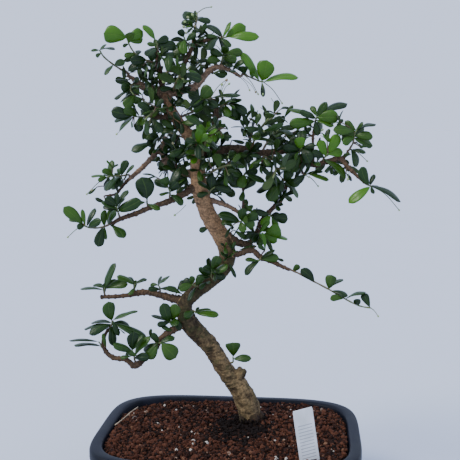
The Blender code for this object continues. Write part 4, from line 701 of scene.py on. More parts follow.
# Ranges of a blade's fold at its rib, curl of its edges, twist, waves and sideways lean
FOLDS, CURLS, TWISTS, WAVES, LEANS = (0.1, 0.3), (0.25, 0.5), (-0.25, 0.25), (0.0, 0.05), (-0.06, 0.06)
# Half width of a leaf's stalk, a blade's thickness, and how much thinner its edge is
STALK_HALF, BLADE_THICK, EDGE_THINNER = 0.42, 0.34, 0.14
# A fine stem's radius as a part of the solid's, and how far its foot goes into the wood
SLIMMER, INTO_WOOD = 0.85, 1.6
# Tones of bright and of fresh leaves, and how dark the old ones are
BRIGHT_TONES, FRESH_TONES, OLD_TONE = (0.72, 1.0), (0.25, 0.6), 0.5
# Board points and reach round which the leaves are young and bright
BRIGHT_SPOTS = (
    (115, 33, 13), (134, 35, 10), (148, 35, 7), (234, 30, 13), (252, 36, 13), (262, 68, 14), (250, 56, 8),
    (290, 77, 10), (205, 131, 9), (216, 135, 8), (196, 162, 5), (331, 146, 13), (360, 194, 12),
    (270, 231, 12), (300, 148, 7),
)
# The same for leaves of a fresh middle green
FRESH_SPOTS = (
    (236, 350, 12), (248, 358, 8), (322, 115, 13), (74, 214, 12), (110, 171, 13), (206, 92, 9),
    (293, 123, 9), (208, 314, 9), (124, 292, 14), (352, 140, 9), (248, 224, 10), (183, 52, 10),
    (150, 121, 9), (111, 312, 10),
)
# Extra tufts of small leaves along the limbs: number, first and last place
TUFTS = {
    "trunk": (22, 0.72, 1.0), "top_right": (13, 0.05, 0.95), "top": (10, 0.1, 0.95),
    "top_left": (11, 0.2, 0.98), "top_middle": (8, 0.3, 0.95), "crown_right": (26, 0.06, 0.9),
    "crown_inner": (10, 0.1, 0.98), "middle_left": (7, 0.1, 0.95), "upper_left": (14, 0.2, 0.98),
    "right_mid": (9, 0.35, 0.95), "crown_right_mid": (4, 0.2, 0.95), "top_fork": (2, 0.3, 0.9),
    "right_twig": (4, 0.3, 0.9), "upright_twig": (3, 0.4, 1.0),
}
# Board points of tufts that stand off the wood on thin twigs, and their number of leaves
FREE_TUFTS = (
    (252, 118, 5), (244, 128, 4), (281, 109, 5), (274, 113, 3), (284, 141, 4), (296, 132, 4), (261, 164, 6),
    (280, 176, 4), (290, 193, 4), (232, 226, 5), (243, 236, 4), (217, 195, 3), (254, 246, 3), (164, 170, 5),
    (156, 177, 3), (178, 160, 5), (142, 95, 4), (158, 101, 3), (227, 104, 4), (327, 141, 4), (340, 122, 3),
    (357, 143, 4), (356, 154, 3), (305, 134, 3), (123, 180, 3), (177, 291, 3), (118, 328, 2), (131, 356, 2),
    (151, 338, 3), (193, 27, 4), (211, 37, 3), (132, 122, 3), (172, 72, 4), (143, 66, 4), (155, 54, 4),
    (214, 166, 3), (268, 152, 3), (270, 138, 4), (346, 132, 3), (113, 168, 3), (106, 176, 3), (246, 120, 4),
    (256, 123, 4), (318, 165, 3), (332, 167, 3), (247, 137, 4), (183, 112, 4), (290, 184, 4), (263, 158, 4),
    (163, 131, 4), (173, 128, 4), (175, 143, 4), (181, 153, 4), (171, 158, 3), (222, 136, 4), (226, 129, 3),
    (186, 190, 2), (167, 120, 4),
)
# Single leaves off the wood: foot, tip and width, and how far behind the wood they are tried
LONE_LEAVES = (
    (208, 228, 199, 231, 6), (229, 263, 236, 278, 4), (182, 294, 166, 287, 6), (187, 186, 176, 193, 5),
    (234, 230, 247, 238, 6), (260, 233, 270, 221, 5), (300, 173, 305, 161, 5), (315, 121, 318, 136, 7),
    (322, 133, 331, 142, 5), (336, 127, 343, 119, 4), (346, 173, 352, 181, 4), (371, 186, 374, 194, 4),
    (221, 105, 238, 99, 5), (243, 112, 248, 126, 6), (256, 125, 260, 113, 6), (284, 118, 293, 105, 5),
    (150, 73, 141, 62, 6), (152, 66, 150, 79, 5), (219, 37, 206, 36, 5), (223, 36, 230, 25, 4),
    (85, 225, 82, 209, 5), (108, 226, 110, 209, 5), (104, 226, 106, 240, 4), (118, 194, 113, 181, 4),
    (113, 321, 119, 336, 6), (240, 250, 257, 246, 4), (276, 258, 284, 261, 3), (123, 66, 125, 79, 4),
    (186, 178, 188, 196, 5), (282, 178, 281, 192, 5), (172, 160, 184, 152, 6), (137, 356, 127, 352, 5),
    (206, 172, 213, 162, 6), (218, 173, 225, 162, 6), (265, 251, 258, 245, 5), (246, 204, 252, 212, 4),
    (283, 197, 296, 191, 5), (303, 137, 311, 127, 5), (255, 151, 262, 143, 5), (106, 203, 95, 198, 4),
    (97, 187, 88, 194, 3), (156, 107, 163, 99, 5), (171, 321, 160, 326, 5), (134, 127, 142, 116, 4),
    (197, 58, 195, 44, 6), (230, 150, 231, 161, 5), (247, 188, 249, 177, 5), (158, 65, 162, 52, 4),
    (140, 96, 133, 88, 4), (250, 142, 249, 128, 5), (265, 250, 262, 232, 4), (222, 171, 216, 162, 5),
    (172, 331, 161, 325, 5), (294, 179, 300, 168, 5), (360, 147, 372, 146, 4), (225, 116, 236, 119, 4),
    (232, 140, 245, 143, 4), (104, 296, 104, 283, 4), (134, 291, 136, 280, 4), (106, 347, 103, 333, 4),
    (125, 359, 130, 350, 4), (258, 124, 263, 134, 5), (290, 138, 299, 131, 5), (181, 97, 177, 107, 5),
)
LONE_TRIES = (-3.0, 3.0, -8.0, 8.0, -14.0, 14.0)
# Openings among the leaves, which the tufts leave clear: centre and reach
OPENINGS = (
    (213, 83, 10), (226, 84, 7), (233, 124, 7), (236, 135, 6), (232, 197, 9), (252, 190, 6), (259, 203, 7),
    (160, 190, 7), (150, 188, 5), (143, 300, 9), (156, 299, 6), (204, 123, 5), (187, 110, 4), (266, 151, 6),
    (308, 144, 6), (345, 150, 5), (354, 158, 5), (81, 206, 5), (93, 210, 5), (240, 268, 7), (180, 41, 8),
    (211, 46, 6), (127, 62, 5), (155, 169, 5), (334, 165, 5), (343, 173, 5), (123, 97, 6), (127, 80, 5),
    (270, 206, 8), (148, 47, 6), (158, 212, 9), (175, 207, 8), (282, 104, 4),
)
# Length and width of a tuft's leaves before its size
TUFT_LENGTHS, TUFT_BREADTHS = (9.0, 16.5), (0.38, 0.49)
# Size of free tufts, and how far in front of (less than 0) or behind the wood they stand
FREE_LOOK, BEND_LOOK, FRONT_LOOK = (0.85, -7.0, 7.0), (0.7, -13.0, -9.0), (1.25, -16.0, -11.0)
# Added leaves may overlap by this much, and from their foot up to this part of their length
ROOM_OVERLAP, ROOM_START = 0.2, 0.2
# Leaves whose middles are further apart than this can't meet
ROOM_REACH = 26.0
# Tufts in front of the trunk
BEND_TUFTS = ((227, 258, 4), (216, 273, 4), (206, 282, 3), (225, 247, 3), (232, 250, 3))
FRONT_TUFTS = ((190, 128, 4), (198, 143, 5), (186, 147, 4), (197, 157, 4), (207, 136, 4), (181, 122, 3))
# Flower buds on thin stalks: where the stalk starts, a point on its way and the bud, on the board
BUDS = (
    ((150, 78, -6), (158, 78, -14), (163.5, 81.5, -18), 1.7),
    ((222, 98, -16), (222, 90, -18), (226.5, 80.5, -20), 1.3),
    ((240, 77, 10), (246, 83, 6), (249.5, 90, 4), 1.0), ((243, 78, 10), (251, 85, 6), (255.5, 92, 4), 1.0),
    ((262, 82, 9), (263, 88, 6), (262.5, 94, 5), 1.3),
    ((271, 98, 5), (274, 103, 4), (274.5, 108.5, 3), 1.2),
    ((131, 120, -14), (124, 127, -17), (116.8, 134, -19), 1.0),
    ((178, 150, -9), (175, 148, -13), (173, 143.5, -16), 1.2),
    ((99, 186, -8), (96, 188, -12), (92, 190, -15), 1.2),
    ((194, 28, 11), (192, 26, 8), (189.5, 23.5, 5), 1.1),
    ((196, 30, 11), (196, 28, 6), (195, 26.5, 3), 1.2),
    ((317, 130, 8), (320, 132, 4), (322.4, 130, 2), 1.1),
    ((186, 205, -10), (180, 211, -15), (175, 215, -18), 1.1),
    ((230, 150, -2), (229, 153, -9), (228, 157, -13), 1.0),
    ((318, 168, 2), (313, 172, -3), (309, 177, -6), 0.9),
    ((349, 168, -5), (349, 173, -7), (348, 179, -8), 1.2), ((194, 30, 11), (188, 29, 7), (184, 27, 4), 1.4),
    ((193, 27, 11), (188, 24, 6), (185, 22, 3), 1.3), ((195, 24, 11), (190, 20, 6), (188, 17.5, 3), 1.3),
    ((196, 22, 11), (194, 18, 7), (192.5, 15, 5), 1.3), ((194, 33, 10), (189, 34, 5), (186, 33, 2), 1.2),
    ((180, 92, -8), (176, 84, -14), (171, 77, -18), 1.0),
    ((223, 98, -16), (221, 90, -18), (222, 85, -20), 1.2),
    ((222, 97, -16), (225, 88, -19), (229, 84, -20), 1.1),
)
# Profile of a bud: place along it and half width there, as parts of its radius
BUD_SHAPE = ((-0.9, 0.25), (-0.6, 0.75), (0.0, 1.0), (0.7, 0.85), (1.3, 0.45), (1.6, 0.12))
# A dry straw on the soil: radius, and its points' board x, board y and height
STRAW_RADIUS = 0.55
STRAW = ((138, 407, 74.0), (131, 412, 77.5), (123, 419, 78.5), (115, 425, 77.0))
# Pot: insets from the rim and heights, from the foot's underside up and over to the floor inside
FINE_POT_SIDES = 160
FINE_PROFILE = (
    (22.6, 0.0), (21.4, 0.15), (20.2, 0.8), (19.5, 2.0), (14.2, 32.0), (9.2, 61.8), (8.2, 62.7),
    (1.0, 64.6), (0.3, 64.9), (0.0, 65.6), (0.0, 72.0), (0.35, 73.4), (1.1, 74.5), (2.2, 75.0), (8.4, 75.0),
    (9.8, 74.6), (10.9, 73.7), (11.5, 72.2), (17.2, 39.0), (23.0, 6.5), (24.2, 5.0), (26.0, 4.5),
)
# Size of the cells that the bark's skin is made from
VOXEL = 0.84
# Bark colours by tone: the trunk from the soil to its top, nearly black at the soil line as painted shade,
# then dark limbs, partly painted shade, and light ones
BARK_COLOURS = (
    (0.0, (0.03, 0.018, 0.012)), (0.034, (0.045, 0.028, 0.016)), (0.065, (0.14, 0.095, 0.045)),
    (0.1, (0.185, 0.128, 0.062)), (0.23, (0.175, 0.118, 0.055)), (0.3, (0.06, 0.043, 0.022)),
    (0.485, (0.07, 0.055, 0.022)), (0.54, (0.31, 0.18, 0.09)), (0.68, (0.32, 0.19, 0.095)),
    (0.82, (0.22, 0.125, 0.065)), (0.92, (0.08, 0.05, 0.028)), (1.0, (0.25, 0.16, 0.1)),
)
# The dark limbs' tone is partly painted shade, partly darker bark
TRUNK_TOP_TONE, DARK_SHADED_LIMB_TONE, LIGHT_LIMB_TONE = 0.85, 0.92, 1.0
# Up to this tone the bark is old and deeply ridged
OLD_BARK_TONE = 0.64
# Roots take the nearly black tone of the soil line, painted shade
ROOT_TONE, STUB_TONE = 0.02, 0.08
LIGHT_LIMBS = ("upper_left", "upper_left_fork", "top_left", "top_right", "right_twig")
# Number of soil grains, and their kinds: share of all up to and with this one, and tone
GRAINS = 7600
GRAIN_KINDS = ((0.4, 0.1), (0.945, 0.4), (0.994, 0.65), (1.0, 1.0))
# Middle of the damp soil by the trunk's foot, darkened also as painted shade: board x, board y, height
DAMP_SHADE_SPOT = (240, 428, 74.0)
# The trunk's radius among the grains, and how high and how far out they are piled against it
FOOT_RADIUS, PILE_HEIGHT, PILE_REACH = 11.0, 6.5, 7.0
# A grain's least radius and how much it may have more, how its sides are stretched, and how jagged it is
GRAIN_LEAST, GRAIN_MORE, GRAIN_STRETCH, GRAIN_JAG = 0.8, 1.7, (0.6, 1.45), 0.22
# How far the damp soil and painted shade reach, and the tone of a grain there
DAMP_SHADE_REACH, DAMP_SHADE_TONE = (18.0, 44.0), -0.1
# Share of the grains that lie on others, and how much higher
PROUD_SHARE, PROUD_LIFT = 0.12, 0.9
# Fine soil bed: its sides and rings, and how far it lies below the grains
BED_SIDES, BED_RINGS, BED_SUNK = 120, 46, 0.9
# Fine label: steps along it, its bend, the part of its height with round corners, and places (across,
# depth) round it
LABEL_STEPS, LABEL_BEND, LABEL_ROUND = 40, 1.2, 0.025
LABEL_SECTION = tuple((v, -1) for v in (-1, -0.5, 0, 0.5, 1)) + tuple((v, 1) for v in (1, 0.5, 0, -0.5, -1))
# Stage
FLOOR_HALF, FLOOR_Z = 30000.0, -0.5
WORLD_COLOUR = (0.9, 1.04, 1.42, 1.0)
SUN_ENERGY, SUN_ANGLE, SUN_COLOUR = 2.8, math.radians(28), (1.0, 0.96, 0.86)
SUN_FROM = Vector((-0.56, -0.36, 0.75))
SENSOR = 36.0


def carry(mesh, places, tones):
    """Gives a mesh's points the values that the materials read."""
    for name in ("place", "tone"):
        if name in mesh.attributes:
            mesh.attributes.remove(mesh.attributes[name])
    place = mesh.attributes.new("place", "FLOAT_VECTOR", "POINT")
    place.data.foreach_set("vector", np.array(places, np.float32).ravel())
    tone = mesh.attributes.new("tone", "FLOAT", "POINT")
    tone.data.foreach_set("value", np.array(tones, np.float32))


class Sheet:
    """Points, faces and what they carry, gathered for one piece."""

    def __init__(self):
        self.points, self.faces, self.slots, self.places, self.tones = [], [], [], [], []

    def add(self, points, faces, slot=0, places=None, tone=0.0):
        start = len(self.points)
        self.points += points
        self.faces += [tuple(index + start for index in face) for face in faces]
        self.slots += [slot] * len(faces)
        self.places += places or [(0.0, 0.0, 0.0)] * len(points)
        self.tones += tone if isinstance(tone, list) else [tone] * len(points)

    def build(self, name, materials, smooth=True):
        mesh = bpy.data.meshes.new(name)
        mesh.from_pydata([point * MM for point in self.points], [], self.faces)
        for made in materials:
            mesh.materials.append(made)
        mesh.polygons.foreach_set("material_index", self.slots)
        mesh.polygons.foreach_set("use_smooth", [smooth] * len(self.faces))
        carry(mesh, self.places, self.tones)
        obj = bpy.data.objects.new(name, mesh)
        bpy.context.scene.collection.objects.link(obj)
        return obj


def one_body(name, body, material, places=None, tone=0.0, smooth=True):
    sheet = Sheet()
    sheet.add(*body, 0, places, tone)
    return sheet.build(name, [material], smooth)


def apply_modifiers(obj):
    bpy.context.view_layer.update()
    mesh = bpy.data.meshes.new_from_object(obj.evaluated_get(bpy.context.evaluated_depsgraph_get()))
    obj.modifiers.clear()
    obj.data = mesh


def board_point(point):
    """Where a point in mm falls on the drawing board."""
    away = point - EYE
    scale = BOARD_DISTANCE / away.dot(AHEAD)
    return BOARD_MIDDLE + away.dot(RIGHT) * scale, BOARD_MIDDLE - away.dot(ABOVE) * scale


def sighted(x, y, reach):
    """The point that a board point stands for at a distance ahead of the eye."""
    way = seen(x, y, 0) - EYE
    return EYE + way * (reach / way.dot(HEADING))


def on_level(x, y, z):
    """Where the line of sight through a board point meets a height."""
    way = seen(x, y, 0) - EYE
    return EYE + way * ((z - EYE.z) / way.z)


def near_spot(point, spots):
    """Whether a point falls within a spot's reach on the board."""
    x, y = board_point(point)
    return any(math.hypot(x - at_x, y - at_y) < reach for at_x, at_y, reach in spots)


# Leaves

def outline(draw, broad):
    """Half width of a blade along its length, as parts of its width."""
    root, shoulder = draw.uniform(*ROOT_POWERS), draw.uniform(*TIP_POWERS)
    if broad:
        root, shoulder = BROAD_POWERS

    def half(u):
        t = max((u - 0.05) / 0.95, 0.0)
        return t ** root * max(1 - t ** shoulder, 0.0) ** 0.5

    most = max(half(k / 60) for k in range(61))
    return lambda u: 0.5 * half(u) / most


def blade(leaf, draw, rows=BLADE_ROWS, columns=BLADE_COLUMNS):
    """Fine leaf in the solid leaf's place: points, faces and (along, across, underside)."""
    base, tip, normal, width, bow = leaf
    along, side, face, length = leaf_frame(base, tip, normal)
    shape = outline(draw, width > BROAD * length)
    fold, curl, twist = draw.uniform(*FOLDS), draw.uniform(*CURLS), draw.uniform(*TWISTS)
    wave, phase = draw.uniform(*WAVES), draw.uniform(0.0, 6.3)
    lean = draw.uniform(*LEANS)
    points, places = [], []
    for under in (0, 1):
        for u in rows:
            half = max(width * shape(u), 0.1 * width if u > TIP_START else STALK_HALF)
            if u > TIP_START:
                half *= 1 + TOOTH_DEPTH * math.sin(u * 60 + phase)
            arch = bow * length * 4 * u * (1 - u)
            for v in columns:
                reach = abs(v)
                rise = arch + half * (fold * reach - curl * v * v + twist * v * u)
                rise += width * wave * math.sin(u * 9 + phase + v) * reach
                rise -= under * (BLADE_THICK - EDGE_THINNER * reach)
                sway = side * (half * v + lean * length * math.sin(math.pi * u))
                points.append(base + along * (length * (u - 0.03 * reach * u)) + sway + face * rise)
                places.append((u, v, float(under)))
    return points, blade_faces(len(rows), len(columns)), places


def blade_faces(tall, wide):
    """Faces of two grids of points, back to back, and of the rim between them."""
    layer = tall * wide
    last = layer - wide
    faces = []
    for r in range(tall - 1):
        for c in range(wide - 1):
            a = r * wide + c
            faces.append((a, a + 1, a + 1 + wide, a + wide))
            faces.append((a + layer + wide, a + layer + wide + 1, a + layer + 1, a + layer))
        left, right = r * wide, r * wide + wide - 1
        faces.append((left, left + wide, left + wide + layer, left + layer))
        faces.append((right, right + layer, right + wide + layer, right + wide))
    for c in range(wide - 1):
        faces.append((last + c, last + c + 1, last + c + 1 + layer, last + c + layer))
        faces.append((c + layer, c + 1 + layer, c + 1, c))
    return faces


def leaf_tone(leaf, draw):
    """0 for old dark leaves to 1 for young bright ones."""
    spot = leaf[1].lerp(leaf[0], 0.35)
    if near_spot(spot, BRIGHT_SPOTS):
        return draw.uniform(*BRIGHT_TONES)
    if near_spot(spot, FRESH_SPOTS):
        return draw.uniform(*FRESH_TONES)
    return OLD_TONE * draw.random() ** 2.2


def add_blade(sheet, leaf, draw, *grid):
    points, faces, places = blade(leaf, draw, *grid)
    sheet.add(points, faces, 0, places, leaf_tone(leaf, draw))


def rooted(path):
    """A stem's path, slimmer than the solid's, with its foot carried into the wood."""
    start, after = path[0][0], path[1][0]
    slim = [(point, SLIMMER * radius) for point, radius in path]
    return [(start - (after - start).normalized() * INTO_WOOD, slim[0][1] * 1.2)] + slim


def add_stem(sheet, path):
    """A stem with small swellings, browner at its foot and greener at its tip."""
    fine = []
    for index, (point, radius) in enumerate(finer(path, 4)):
        fine.append((point, radius * (1 + 0.14 * math.sin(index * 2.1))))
    points, faces = tube(fine, 8)
    count = len(points)
    places = [(index / count, 0.0, 0.0) for index in range(count)]
    sheet.add(points, faces, 1, places, [0.25 + 0.6 * index / count for index in range(count)])


def add_stalk(sheet, leaf):
    """A narrow shoot: a thin arched stalk with a bud at its tip."""
    base, tip = leaf[:2]
    middle = base.lerp(tip, 0.5) + Vector((0, 0, (tip - base).length * 0.1))
    sheet.add(*tube(finer([(base, 0.5), (middle, 0.42), (tip, 0.36)], 6), 6), 1, None, 0.8)
    add_bud(sheet, tip, (tip - middle).normalized(), 0.95, 0.4)


def add_bud(sheet, point, out, radius, tone):
    path = [(point + out * radius * far, radius * part) for far, part in BUD_SHAPE]
    sheet.add(*tube(path, 10), 2, None, tone)


def spray_piece(name, paths, leaves, materials, draw):
    sheet = Sheet()
    add_stem(sheet, rooted(paths[0]))
    for path in paths[1:]:
        add_stem(sheet, [(point, radius * 0.9) for point, radius in path])
    for leaf in leaves:
        if leaf[3] <= NARROW:
            add_stalk(sheet, leaf)
        else:
            add_blade(sheet, leaf, draw)
    piece = sheet.build("fine_" + name, materials)
    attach(piece, "root")
    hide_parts(name)


def tuft_leaves(base, out, number, size, draw):
    """A tuft of small leaves round the tip of a spur."""
    turn = draw.uniform(0.0, 6.3)
    side = out.orthogonal().normalized()
    other = out.cross(side)
    spread = min(number / 3, 1.0)
    found = []
    for index in range(number):
        angle = turn + GOLDEN_TURN * index
        away = (side * math.cos(angle) + other * math.sin(angle)) * spread
        way = away * draw.uniform(0.7, 1.2) + out * draw.uniform(0.5, 1.0) + Vector((0, 0, 0.25))
        way.normalize()
        length = size * draw.uniform(*TUFT_LENGTHS)
        face = (out + Vector((0, 0, 0.8)) - way * 0.4).normalized()
        face = (face - way * face.dot(way)).normalized()
        width, bow = length * draw.uniform(*TUFT_BREADTHS), draw.uniform(0.04, 0.12)
        found.append((base, base + way * length, face, width, bow))
    return found


def path_radius(path, point):
    return min(path, key=lambda row: (row[0] - point).length)[1]


def spurs(paths, draw):
    """Short spurs straight on the limbs: their twig and their leaves."""
    for name, (number, first, last) in TUFTS.items():
        for index in range(number):
            place = first + (last - first) * (index + draw.random()) / number
            centre, along = along_stem(paths[name], place)
            radius = min(path_radius(paths[name], centre), 8.0)
            out = along.orthogonal().normalized()
            out = Matrix.Rotation(draw.uniform(0, 2 * math.pi), 3, along) @ out
            out = (out + Vector((0, 0, 0.35))).normalized()
            out = (out - along * out.dot(along)).normalized()
            base = centre + out * (radius - 0.3)
            leaves = tuft_leaves(base + out * 1.6, out, draw.randint(4, 6), 1.0, draw)
            yield [(base - out, 1.0), (base + out * 1.7, 0.8)], leaves


def anchored(rows, x, y, behind):
    """The wood or shoot nearest to a board point, and the point itself so many mm behind it."""
    start = min(rows, key=lambda row: math.hypot(row[1] - x, row[2] - y))[0]
    return start, sighted(x, y, (start - EYE).dot(HEADING) + behind)


def thin_twig(start, end):
    middle = start.lerp(end, 0.5) + Vector((0, 0, 0.08 * (end - start).length))
    return finer([(start, 0.8), (middle, 0.6), (end, 0.5)], 4)


def free_spurs(rows, spots, size, nearest, furthest, draw):
    for x, y, number in spots:
        start, base = anchored(rows, x, y, draw.uniform(nearest, furthest))
        yield thin_twig(start, base), tuft_leaves(base, (base - start).normalized(), number, size, draw)


def lone_leaf(rows, spot, behind, draw):
    x, y, tip_x, tip_y, width = spot
    start, base = anchored(rows, x, y, behind)
    tip = sighted(tip_x, tip_y, (base - EYE).dot(HEADING) + draw.uniform(-2.0, 2.0))
    face = Vector((draw.uniform(-0.3, 0.3), 0, draw.uniform(0.2, 0.6))) - HEADING
    return thin_twig(start, base), (base, tip, face.normalized(), width, 0.06)


class Room:
    """What the added leaves stay clear of: the shoots' leaves, the wood and each other."""

    def __init__(self, sprays):
        leaves = [leaf for _, _, some in sprays for leaf in some]
        self.taken = [(tree_of(*leaf_solid(leaf)), (leaf[0] + leaf[1]) / 2) for leaf in leaves]
        self.wood = tube_tree(wood_paths(), 12, 0.1)

    def takes(self, leaf):
        """Whether an added leaf has room here, which it then takes up."""
        middle = (leaf[0] + leaf[1]) / 2
        test = tree_of(*leaf_solid(leaf, -ROOM_OVERLAP, ROOM_START))
        near = [tree for tree, spot in self.taken if (spot - middle).length < ROOM_REACH]
        if meets(test, self.wood) or any(meets(test, other) for other in near):
            return False
        self.taken.append((test, middle))
        return True


def in_opening(leaf):
    return near_spot(leaf[0].lerp(leaf[1], 0.7), OPENINGS)


def tuft_pieces(sprays, materials, draw):
    """Small leaves on spurs and thin twigs."""
    room = Room(sprays)
    named = limb_paths()
    stems = [path for _, paths, _ in sprays for path in paths]
    rows = [(point, *board_point(point)) for path in [*named.values(), *stems] for point, _ in path]
    found = []
    for spot in LONE_LEAVES:
        tries = (lone_leaf(rows, spot, behind, draw) for behind in LONE_TRIES)
        found += next(([(twig, [leaf])] for twig, leaf in tries if room.takes(leaf)), [])
    tufts = [*free_spurs(rows, FRONT_TUFTS, *FRONT_LOOK, draw), *spurs(named, draw)]
    tufts += free_spurs(rows, BEND_TUFTS, *BEND_LOOK, draw)
    tufts += free_spurs(rows, FREE_TUFTS, *FREE_LOOK, draw)
    for twig, leaves in tufts:
        found.append((twig, [leaf for leaf in leaves if not in_opening(leaf) and room.takes(leaf)]))
    sheet = Sheet()
    for twig, leaves in found:
        for leaf in leaves:
            add_blade(sheet, leaf, draw, SMALL_ROWS, SMALL_COLUMNS)
        if leaves:
            sheet.add(*tube(twig, 6), 1, None, 0.3)
    piece = sheet.build("spur_leaves", materials)
    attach(piece, "root")


def bud_piece(materials, draw):
    """Flower buds on thin curved stalks."""
    sheet = Sheet()
    for start, way, end, radius in BUDS:
        rows = [(seen(*start), 0.34), (seen(*way), 0.28), (seen(*end), 0.26)]
        sheet.add(*tube(finer(rows, 6), 6), 1, None, 0.9)
        last = rows[-1][0]
        add_bud(sheet, last, (last - rows[1][0]).normalized(), radius, draw.random())
    piece = sheet.build("buds", materials)
    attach(piece, "root")


# Wood

def nearest_wood(points, paths):
    """For every point: mm along its limb, the outward direction, the limb's radius there and its number."""
    rows = []
    for index, path in enumerate(paths):
        total = 0.0
        for (a, ra), (b, rb) in zip(path[:-1], path[1:]):
            rows.append((*a, *b, ra, rb, total, index))
            total += (b - a).length
    rows = np.array(rows)
    best = np.full(len(points), 1e9)
    found = np.zeros((len(points), 6))
    for row in rows:
        a, b = row[:3], row[3:6]
        step = b - a
        t = np.clip(((points - a) @ step) / (step @ step), 0, 1)
        away = points - (a + t[:, None] * step)
        far = np.linalg.norm(away, axis=1)
        radius = row[6] + (row[7] - row[6]) * t
        gap = far - radius
        closer = gap < best
        best[closer] = gap[closer]
        found[closer, 0] = (row[8] + t * np.linalg.norm(step))[closer]
        found[closer, 1:4] = (away / np.maximum(far, 1e-6)[:, None])[closer]
        found[closer, 4] = radius[closer]
        found[closer, 5] = row[9]
    return found


def remesh(obj):
    """Makes one smooth skin of overlapping tubes."""
    change = obj.modifiers.new("skin", "REMESH")
    change.mode = "VOXEL"
    change.voxel_size = VOXEL * MM
    smooth = obj.modifiers.new("ease", "SMOOTH")
    smooth.factor = 0.5
    smooth.iterations = 2
    apply_modifiers(obj)


def bark_paths():
    """Fine centre lines, with radii that swell a little, unevenly."""
    paths = [finer(trunk_path(), 4)] + [wood_path(rows, 4) for rows in LIMBS.values()]
    paths += [finer(root_path(*root), 4) for root in ROOTS]
    uneven = []
    for index, path in enumerate(paths):
        swells = [1 + 0.05 * noise.noise(Vector((k * 0.9, index * 7.3, 0.0))) for k in range(len(path))]
        uneven.append([(point, radius * swell) for (point, radius), swell in zip(path, swells)])
    return uneven


def bark_lift(point, near, tone):
    """How far the bark stands out at a point: flaky ridges across the old trunk, fine grain on thin limbs."""
    s, x, y, z, radius = near[:5]
    deep = min(radius / 8.0, 1.0)
    old = max(1 - tone / OLD_BARK_TONE, 0.0)
    seed = near[5] * 3.7
    around = Vector((x, y, z)) * 1.1
    rings = 0.5 - abs(noise.noise(Vector((s * 0.3 + seed, 0, 0)) + around))
    flakes = noise.noise(Vector((s * 0.55 + seed, 9, 0)) + around * 3)
    lumps = noise.noise(point * 0.13 + Vector((seed, 0, 0)))
    fine = noise.noise(point * 0.9)
    if tone > TRUNK_TOP_TONE + 0.01:
        fine += 6.0 * max(math.sin(s * 0.8 + 2 * lumps), 0.0) ** 5
    ridges = (0.5 + 0.8 * old) * (rings - 0.3) + 0.45 * flakes + (0.3 + 1.1 * old) * lumps
    return deep * ridges + 0.16 * fine * (0.4 + deep)


def rows_of(items, name):
    rows = np.empty(len(items) * 3, np.float32)
    items.foreach_get(name, rows)
    return rows.reshape(-1, 3)


def wood_piece(made):
    paths = bark_paths()
    sheet = Sheet()
    for path in paths:
        sheet.add(*tube(path, 16))
    piece = sheet.build("bark", [made])
    remesh(piece)
    mesh = piece.data
    points = rows_of(mesh.vertices, "co").astype(float) / MM
    near = nearest_wood(points, paths)
    limb = near[:, 5]
    numbers = {name: index + 1 for index, name in enumerate(LIMBS)}
    trunk_length = near[limb == 0, 0].max()
    tones = np.where(limb == 0, TRUNK_TOP_TONE * near[:, 0] / trunk_length, DARK_SHADED_LIMB_TONE)
    tones[limb > len(LIMBS)] = ROOT_TONE
    stub = np.isin(limb, [numbers["stub"], numbers["stub_horn"]])
    tones[stub] = STUB_TONE
    tones[np.isin(limb, [numbers[name] for name in LIGHT_LIMBS])] = LIGHT_LIMB_TONE
    lift = np.array([bark_lift(Vector(point), row, tone) for point, row, tone in zip(points, near, tones)])
    lift[stub] *= 1.7
    points += rows_of(mesh.vertex_normals, "vector") * lift[:, None]
    mesh.vertices.foreach_set("co", (points * MM).astype(np.float32).ravel())
    mesh.polygons.foreach_set("use_smooth", [True] * len(mesh.polygons))
    carry(mesh, np.stack([near[:, 0] / 10, lift, near[:, 4]], 1), tones)
    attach(piece, "root")
    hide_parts("trunk")


# Soil

def inside_pot(x, y, margin):
    """Whether a place is within the soil's edge by a margin."""
    half_x, half_y = pot_half(SOIL_INSET + margin)
    return abs(x / half_x) ** CORNER_POWER + abs(y / half_y) ** CORNER_POWER < 1


def soil_bed(made):
    rings, top = soil_rows([1 - step / BED_RINGS for step in range(BED_RINGS)], BED_SIDES)
    for step, row in enumerate(top):
        for point in row:
            rough = noise.noise(point * 0.35) * 0.7 + noise.noise(point * 0.11) * 1.0
            point.z = even_height(point.x, point.y) - BED_SUNK + rough
            if step == 0:
                point.z = SOIL_EDGE_Z - 1.5 + 0.3 * rough
    piece = one_body("soil_bed", loft(rings), made, None, 0.4)
    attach(piece, "root")
    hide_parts("soil")


